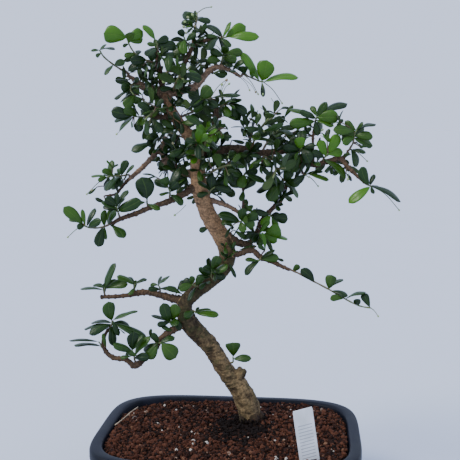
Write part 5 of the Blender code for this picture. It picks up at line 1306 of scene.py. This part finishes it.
def soil_grains(made, draw):
    """Loose grains on the bed, dark where it is damp by the trunk's foot, with painted shade there too."""
    trunk = seen(*TRUNK[1][:3])
    damp_shade_centre = on_level(*DAMP_SHADE_SPOT)
    half_x, half_y = pot_half(SOIL_INSET)
    corners, faces = grain_shape()
    sheets = [Sheet(), Sheet()]
    placed = 0
    while placed < GRAINS:
        x, y = draw.uniform(-1, 1) * half_x, draw.uniform(-1, 1) * half_y
        radius = GRAIN_LEAST + GRAIN_MORE * draw.random() ** 2.5
        away = math.hypot(x - trunk.x, y - trunk.y)
        if not inside_pot(x, y, radius) or away < FOOT_RADIUS + radius:
            continue
        placed += 1
        centre = Vector((x, y, even_height(x, y) - 0.45 + draw.uniform(-0.5, 0.6)))
        pile = math.exp(-((away - FOOT_RADIUS) / PILE_REACH) ** 2)
        centre.z += PILE_HEIGHT * pile * draw.random()
        if draw.random() < PROUD_SHARE:
            centre.z += PROUD_LIFT
        turn = draw.uniform(0, 6.3)
        spin = Matrix.Rotation(turn, 3, Vector([draw.uniform(-1, 1) for _ in range(3)]).normalized())
        stretch = [draw.uniform(*GRAIN_STRETCH) for _ in range(3)]
        kind = draw.random()
        tone = next(tone for share, tone in GRAIN_KINDS if kind < share)
        # Near the trunk's foot the grains take a dark tone: damp soil and painted shade
        if (centre - damp_shade_centre).length < draw.uniform(*DAMP_SHADE_REACH):
            tone = DAMP_SHADE_TONE
        points = []
        for corner in corners:
            jag = 1 + GRAIN_JAG * (draw.random() - 0.5)
            points.append(centre + spin @ Vector([c * s * radius * jag for c, s in zip(corner, stretch)]))
        sheets[placed % 2].add(points, faces, 0, None, min(tone + draw.uniform(-0.12, 0.12), 1.0))
    for index, sheet in enumerate(sheets):
        piece = sheet.build("soil_grains_%d" % index, [made], smooth=False)
        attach(piece, "root")


def grain_shape():
    """A twenty-sided grain."""
    golden = (1 + 5 ** 0.5) / 2
    points = []
    for a in (-1, 1):
        for b in (-golden, golden):
            points += [(0, a, b), (a, b, 0), (b, 0, a)]
    points = [Vector(point).normalized() for point in points]
    close = min((points[0] - other).length for other in points[1:]) * 1.1
    faces = []
    for a in range(12):
        for b in range(a + 1, 12):
            for c in range(b + 1, 12):
                trio = (points[a], points[b], points[c])
                if all((trio[i] - trio[i - 1]).length < close for i in range(3)):
                    normal = (trio[1] - trio[0]).cross(trio[2] - trio[0])
                    faces.append((a, b, c) if normal.dot(trio[0]) > 0 else (a, c, b))
    return points, faces


# Pot, label and straw

def pot_piece(made):
    rings = [ring(*pot_half(inset), z, FINE_POT_SIDES) for inset, z in FINE_PROFILE]
    piece = one_body("fine_pot", loft(rings), made)
    for x in (-DRAIN_X, DRAIN_X):
        hole = one_body("drain", tube([(Vector((x, 0, z)), DRAIN_RADIUS) for z in (-5.0, 12.0)], 40), made)
        cut = piece.modifiers.new("drain", "BOOLEAN")
        cut.object = hole
        cut.solver = "EXACT"
        apply_modifiers(piece)
        bpy.data.objects.remove(hole)
    piece.data.set_sharp_from_angle(angle=math.radians(40))
    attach(piece, "root")
    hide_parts("pot")


def label_piece(made):
    """Thin strip with rounded corners and a slight bend."""
    wide, thick, tall = LABEL_SIZE
    up, across, back = label_axes()
    rings, places = [], []
    for k in range(LABEL_STEPS + 1):
        low = k / LABEL_STEPS
        half = wide * (0.3 + 0.2 * min(low / LABEL_POINT, 1.0))
        corner = max(low - (1 - LABEL_ROUND), 0.0) / LABEL_ROUND
        half -= 0.5 * (1 - math.sqrt(max(1 - corner ** 2, 0.0)))
        centre = LABEL_FOOT + up * (tall * low) + back * (LABEL_BEND * math.sin(math.pi * low))
        row = []
        for v, depth in LABEL_SECTION:
            row.append(centre + across * (half * v) + back * (depth * thick * 0.42))
            places.append((low, v * half / wide * 2, float(depth)))
        rings.append(row)
    piece = one_body("plant_label", loft(rings), made, places, smooth=False)
    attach(piece, "root")
    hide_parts("label")


def straw_piece(made):
    path = [(on_level(*row), STRAW_RADIUS) for row in STRAW]
    piece = one_body("straw", tube(finer(path, 5), 7), made)
    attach(piece, "root")


# Materials

class Look:
    """A material's nodes while it is put together."""

    def __init__(self, name):
        self.made = bpy.data.materials.new(name)
        self.made.use_nodes = True
        self.tree = self.made.node_tree
        self.shader = self.tree.nodes["Principled BSDF"]

    def put(self, socket, value):
        """Joins an output to a socket, or sets a number or a colour there."""
        if isinstance(value, bpy.types.NodeSocket):
            self.tree.links.new(value, socket)
        else:
            socket.default_value = (*value, 1.0) if isinstance(value, tuple) else value

    def node(self, kind, **values):
        made = self.tree.nodes.new(kind)
        for name, value in values.items():
            setattr(made, name, value)
        return made

    def tone(self):
        return self.node("ShaderNodeAttribute", attribute_name="tone").outputs["Fac"]

    def place(self):
        place = self.node("ShaderNodeAttribute", attribute_name="place")
        split = self.node("ShaderNodeSeparateXYZ")
        self.put(split.inputs[0], place.outputs["Vector"])
        return split.outputs

    def maths(self, operation, first, second=0.0):
        made = self.node("ShaderNodeMath", operation=operation)
        self.put(made.inputs[0], first)
        self.put(made.inputs[1], second)
        return made.outputs[0]

    def plus(self, first, second):
        return self.maths("ADD", first, second)

    def times(self, first, second):
        return self.maths("MULTIPLY", first, second)

    def less(self, first, second):
        return self.maths("SUBTRACT", first, second)

    def varied(self, value, by, much):
        """A value moved up and down by a noise."""
        return self.plus(value, self.times(self.less(by, 0.5), much))

    def noise(self, scale, detail=3.0, rough=0.5):
        """Noise in the object's own coordinates; scale is per metre."""
        made = self.node("ShaderNodeTexNoise")
        for name, value in (("Scale", scale), ("Detail", detail), ("Roughness", rough)):
            self.put(made.inputs[name], value)
        self.put(made.inputs["Vector"], self.node("ShaderNodeTexCoord").outputs["Object"])
        return made.outputs["Fac"]

    def ramp(self, source, stops):
        made = self.node("ShaderNodeValToRGB")
        while len(made.color_ramp.elements) < len(stops):
            made.color_ramp.elements.new(0.5)
        for element, (place, color) in zip(made.color_ramp.elements, stops):
            element.position = place
            element.color = (*color, 1.0)
        self.put(made.inputs["Fac"], source)
        return made.outputs["Color"]

    def greys(self, source, *stops):
        return self.ramp(source, [(place, (level,) * 3) for place, level in stops])

    def mix(self, factor, first, second, blend="MIX"):
        made = self.node("ShaderNodeMix", data_type="RGBA", blend_type=blend)
        for index, value in ((0, factor), (6, first), (7, second)):
            self.put(made.inputs[index], value)
        return made.outputs[2]

    def bump(self, height, distance, strength=1.0):
        made = self.node("ShaderNodeBump")
        for name, value in (("Distance", distance), ("Strength", strength), ("Height", height)):
            self.put(made.inputs[name], value)
        self.put(self.shader.inputs["Normal"], made.outputs["Normal"])

    def finish(self, colour, rough, specular=0.5):
        """Sets what shows, and gives the material."""
        for name, value in (("Base Color", colour), ("Roughness", rough), ("Specular IOR Level", specular)):
            self.put(self.shader.inputs[name], value)
        return self.made


def leaf_material():
    look = Look("leaf")
    u, v, under = look.place()
    blotch = look.noise(140.0, 2.0)
    colour = look.ramp(look.varied(look.tone(), blotch, 0.25), (
        (0.0, (0.005, 0.02, 0.002)), (0.2, (0.011, 0.038, 0.003)), (0.45, (0.028, 0.074, 0.003)),
        (0.75, (0.038, 0.115, 0.004)), (1.0, (0.06, 0.165, 0.005)),
    ))
    across = look.maths("ABSOLUTE", v)
    rib = look.maths("MAXIMUM", look.less(1.0, look.times(across, 11.0)), 0.0)
    slant = look.less(look.times(u, 30.0), look.times(across, 7.0))
    veins = look.maths("POWER", look.maths("MAXIMUM", look.maths("SINE", slant), 0.0), 8.0)
    colour = look.mix(look.plus(look.times(rib, 0.3), look.times(veins, 0.06)), colour, (0.09, 0.16, 0.02))
    colour = look.mix(under, colour, look.mix(0.5, colour, (0.05, 0.09, 0.02)))
    groove = look.plus(look.times(rib, -1.0), look.times(veins, -0.35))
    look.bump(look.plus(groove, look.times(look.noise(900.0), 0.5)), 0.00025, 0.7)
    dull = look.plus(look.times(under, 0.3), look.times(blotch, 0.24))
    return look.finish(colour, look.plus(dull, 0.2), 0.26)


def twig_material():
    look = Look("young_stem")
    colour = look.ramp(look.varied(look.tone(), look.noise(500.0), 0.5), (
        (0.1, (0.075, 0.035, 0.02)), (0.45, (0.11, 0.065, 0.03)), (0.75, (0.10, 0.12, 0.035)),
        (1.0, (0.16, 0.24, 0.07)),
    ))
    look.bump(look.noise(1500.0, 2.0), 0.0002)
    return look.finish(colour, 0.6)


def bud_material():
    look = Look("bud")
    stops = ((0.0, (0.22, 0.33, 0.09)), (0.7, (0.36, 0.44, 0.18)), (1.0, (0.22, 0.13, 0.06)))
    return look.finish(look.ramp(look.tone(), stops), 0.5)


def bark_material():
    """Nearly black at the soil line as painted shade, olive brown at the foot above it, dark and mossy in the
    bend, tan above that, with dark limbs that are partly painted shade and light ones, and painted shade in
    the bark's hollows.
    """
    look = Look("bark")
    _, relief, radius = look.place()
    grain = look.noise(420.0, 5.0, 0.7)
    along = look.varied(look.tone(), look.noise(75.0, 4.0, 0.6), 0.12)
    slim = look.greys(look.times(radius, 0.1), (0.12, 1), (0.36, 0))
    colour = look.mix(look.times(slim, 0.35), look.ramp(along, BARK_COLOURS), (0.055, 0.03, 0.018))
    light = look.ramp(grain, ((0.32, (0.4, 0.4, 0.4)), (0.5, (0.95, 0.95, 0.95)), (0.7, (1.7, 1.6, 1.45))))
    colour = look.mix(1.0, colour, light, "MULTIPLY")
    moss = look.greys(look.noise(60.0, 4.0, 0.65), (0.5, 0), (0.62, 1))
    green = look.greys(along, (0.04, 0.3), (0.28, 0.8), (0.49, 0.8), (0.54, 0.1))
    colour = look.mix(look.mix(1.0, moss, green, "MULTIPLY"), colour, (0.035, 0.045, 0.014))
    # Painted shade: the bark is darkened where its relief sinks in
    hollow_shade = look.greys(look.times(relief, -1.0), (0.0, 0), (0.45, 1))
    colour = look.mix(look.times(hollow_shade, 0.6), colour, (0.02, 0.012, 0.007))
    look.bump(look.plus(grain, look.times(look.noise(1600.0), 0.35)), 0.0009, 0.9)
    return look.finish(colour, 0.85, 0.2)


def soil_material():
    look = Look("damp_soil")
    grain = look.noise(520.0, 5.0, 0.7)
    look.bump(grain, 0.0016)
    return look.finish(look.ramp(grain, (
        (0.3, (0.004, 0.002, 0.001)), (0.5, (0.012, 0.005, 0.003)), (0.68, (0.04, 0.015, 0.008)),
        (0.8, (0.07, 0.03, 0.018)),
    )), 0.9, 0.15)


def grain_material():
    look = Look("soil_grain")
    speck = look.noise(700.0)
    look.bump(speck, 0.0006)
    return look.finish(look.ramp(look.varied(look.tone(), speck, 0.2), (
        (0.0, (0.006, 0.003, 0.002)), (0.3, (0.047, 0.015, 0.007)), (0.5, (0.092, 0.033, 0.017)),
        (0.72, (0.15, 0.075, 0.04)), (0.9, (0.5, 0.45, 0.38)),
    )), 0.85, 0.15)


def pot_material():
    look = Look("pot_plastic")
    wear = look.noise(35.0, 5.0, 0.65)
    colour = look.ramp(wear, (
        (0.35, (0.003, 0.004, 0.007)), (0.55, (0.005, 0.006, 0.012)), (0.75, (0.014, 0.015, 0.024)),
    ))
    dust = look.greys(look.noise(210.0, 4.0, 0.7), (0.62, 0), (0.75, 1))
    colour = look.mix(look.times(dust, 0.1), colour, (0.12, 0.11, 0.10))
    look.bump(look.noise(1400.0, 2.0), 0.00012, 0.6)
    return look.finish(colour, look.plus(look.times(wear, 0.3), 0.34), 0.14)


def label_material():
    """White plastic with generic ruled lines in grey."""
    look = Look("label_plastic")
    low, across, _ = look.place()
    line = look.greys(look.maths("SINE", look.times(low, 190.0)), (0.72, 0), (0.86, 1))
    inside = look.maths("LESS_THAN", look.maths("ABSOLUTE", across), 0.72)
    band = look.times(look.maths("LESS_THAN", low, 0.86), inside)
    white = look.ramp(look.noise(90.0, 4.0), ((0.35, (0.66, 0.67, 0.66)), (0.6, (0.80, 0.81, 0.81))))
    look.bump(look.noise(300.0, 2.0), 0.0001, 0.4)
    return look.finish(look.mix(look.times(look.times(line, band), 0.8), white, (0.22, 0.23, 0.26)), 0.38)


def straw_material():
    look = Look("dry_straw")
    colour = look.ramp(look.noise(260.0), ((0.35, (0.20, 0.14, 0.08)), (0.65, (0.45, 0.36, 0.24))))
    return look.finish(colour, 0.8)


# Stage

def floor_piece():
    look = Look("floor_paper")
    colour = look.ramp(look.noise(3.0), ((0.3, (0.56, 0.61, 0.72)), (0.7, (0.57, 0.62, 0.73))))
    made = look.finish(colour, 0.8)
    signs = ((-1, -1), (1, -1), (1, 1), (-1, 1))
    corners = [Vector((x * FLOOR_HALF, y * FLOOR_HALF, FLOOR_Z)) for x, y in signs]
    one_body("floor", (corners, [(0, 1, 2, 3)]), made)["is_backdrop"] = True


def light_stage():
    world = bpy.data.worlds.new("studio")
    world.use_nodes = True
    world.node_tree.nodes["Background"].inputs["Color"].default_value = WORLD_COLOUR
    bpy.context.scene.world = world
    data = bpy.data.lights.new("key", "SUN")
    data.angle = SUN_ANGLE
    data.energy = SUN_ENERGY
    data.color = SUN_COLOUR
    key = bpy.data.objects.new("key", data)
    key.rotation_euler = SUN_FROM.to_track_quat("Z", "Y").to_euler()
    bpy.context.scene.collection.objects.link(key)


def place_camera():
    data = bpy.data.cameras.new("photo_view")
    data.sensor_width = SENSOR
    data.lens = SENSOR * BOARD_DISTANCE / (2 * BOARD_MIDDLE)
    data.clip_end = 100.0
    camera = bpy.data.objects.new("photo_view", data)
    ahead = HEADING.normalized() * math.cos(PITCH) - Vector((0, 0, math.sin(PITCH)))
    right = Vector((HEADING.y, -HEADING.x, 0)).normalized()
    up = right.cross(ahead)
    camera.matrix_world = Matrix((
        (right.x, up.x, -ahead.x, EYE.x * MM), (right.y, up.y, -ahead.y, EYE.y * MM),
        (right.z, up.z, -ahead.z, EYE.z * MM), (0, 0, 0, 1),
    ))
    bpy.context.scene.collection.objects.link(camera)
    bpy.context.scene.camera = camera


def build():
    draw = random.Random(FINE_SEED)
    leaf_looks = [leaf_material(), twig_material(), bud_material()]
    sprays = plan_tree()
    for name, paths, leaves in sprays:
        spray_piece(name, paths, leaves, leaf_looks, draw)
    tuft_pieces(sprays, leaf_looks, draw)
    bud_piece(leaf_looks, draw)
    wood_piece(bark_material())
    soil_bed(soil_material())
    soil_grains(grain_material(), draw)
    pot_piece(pot_material())
    label_piece(label_material())
    straw_piece(straw_material())
    floor_piece()
    light_stage()
    place_camera()


build()
bpy.context.view_layer.update()
[[list(corner) for corner in box] for box in (CAD_BOX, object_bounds())]
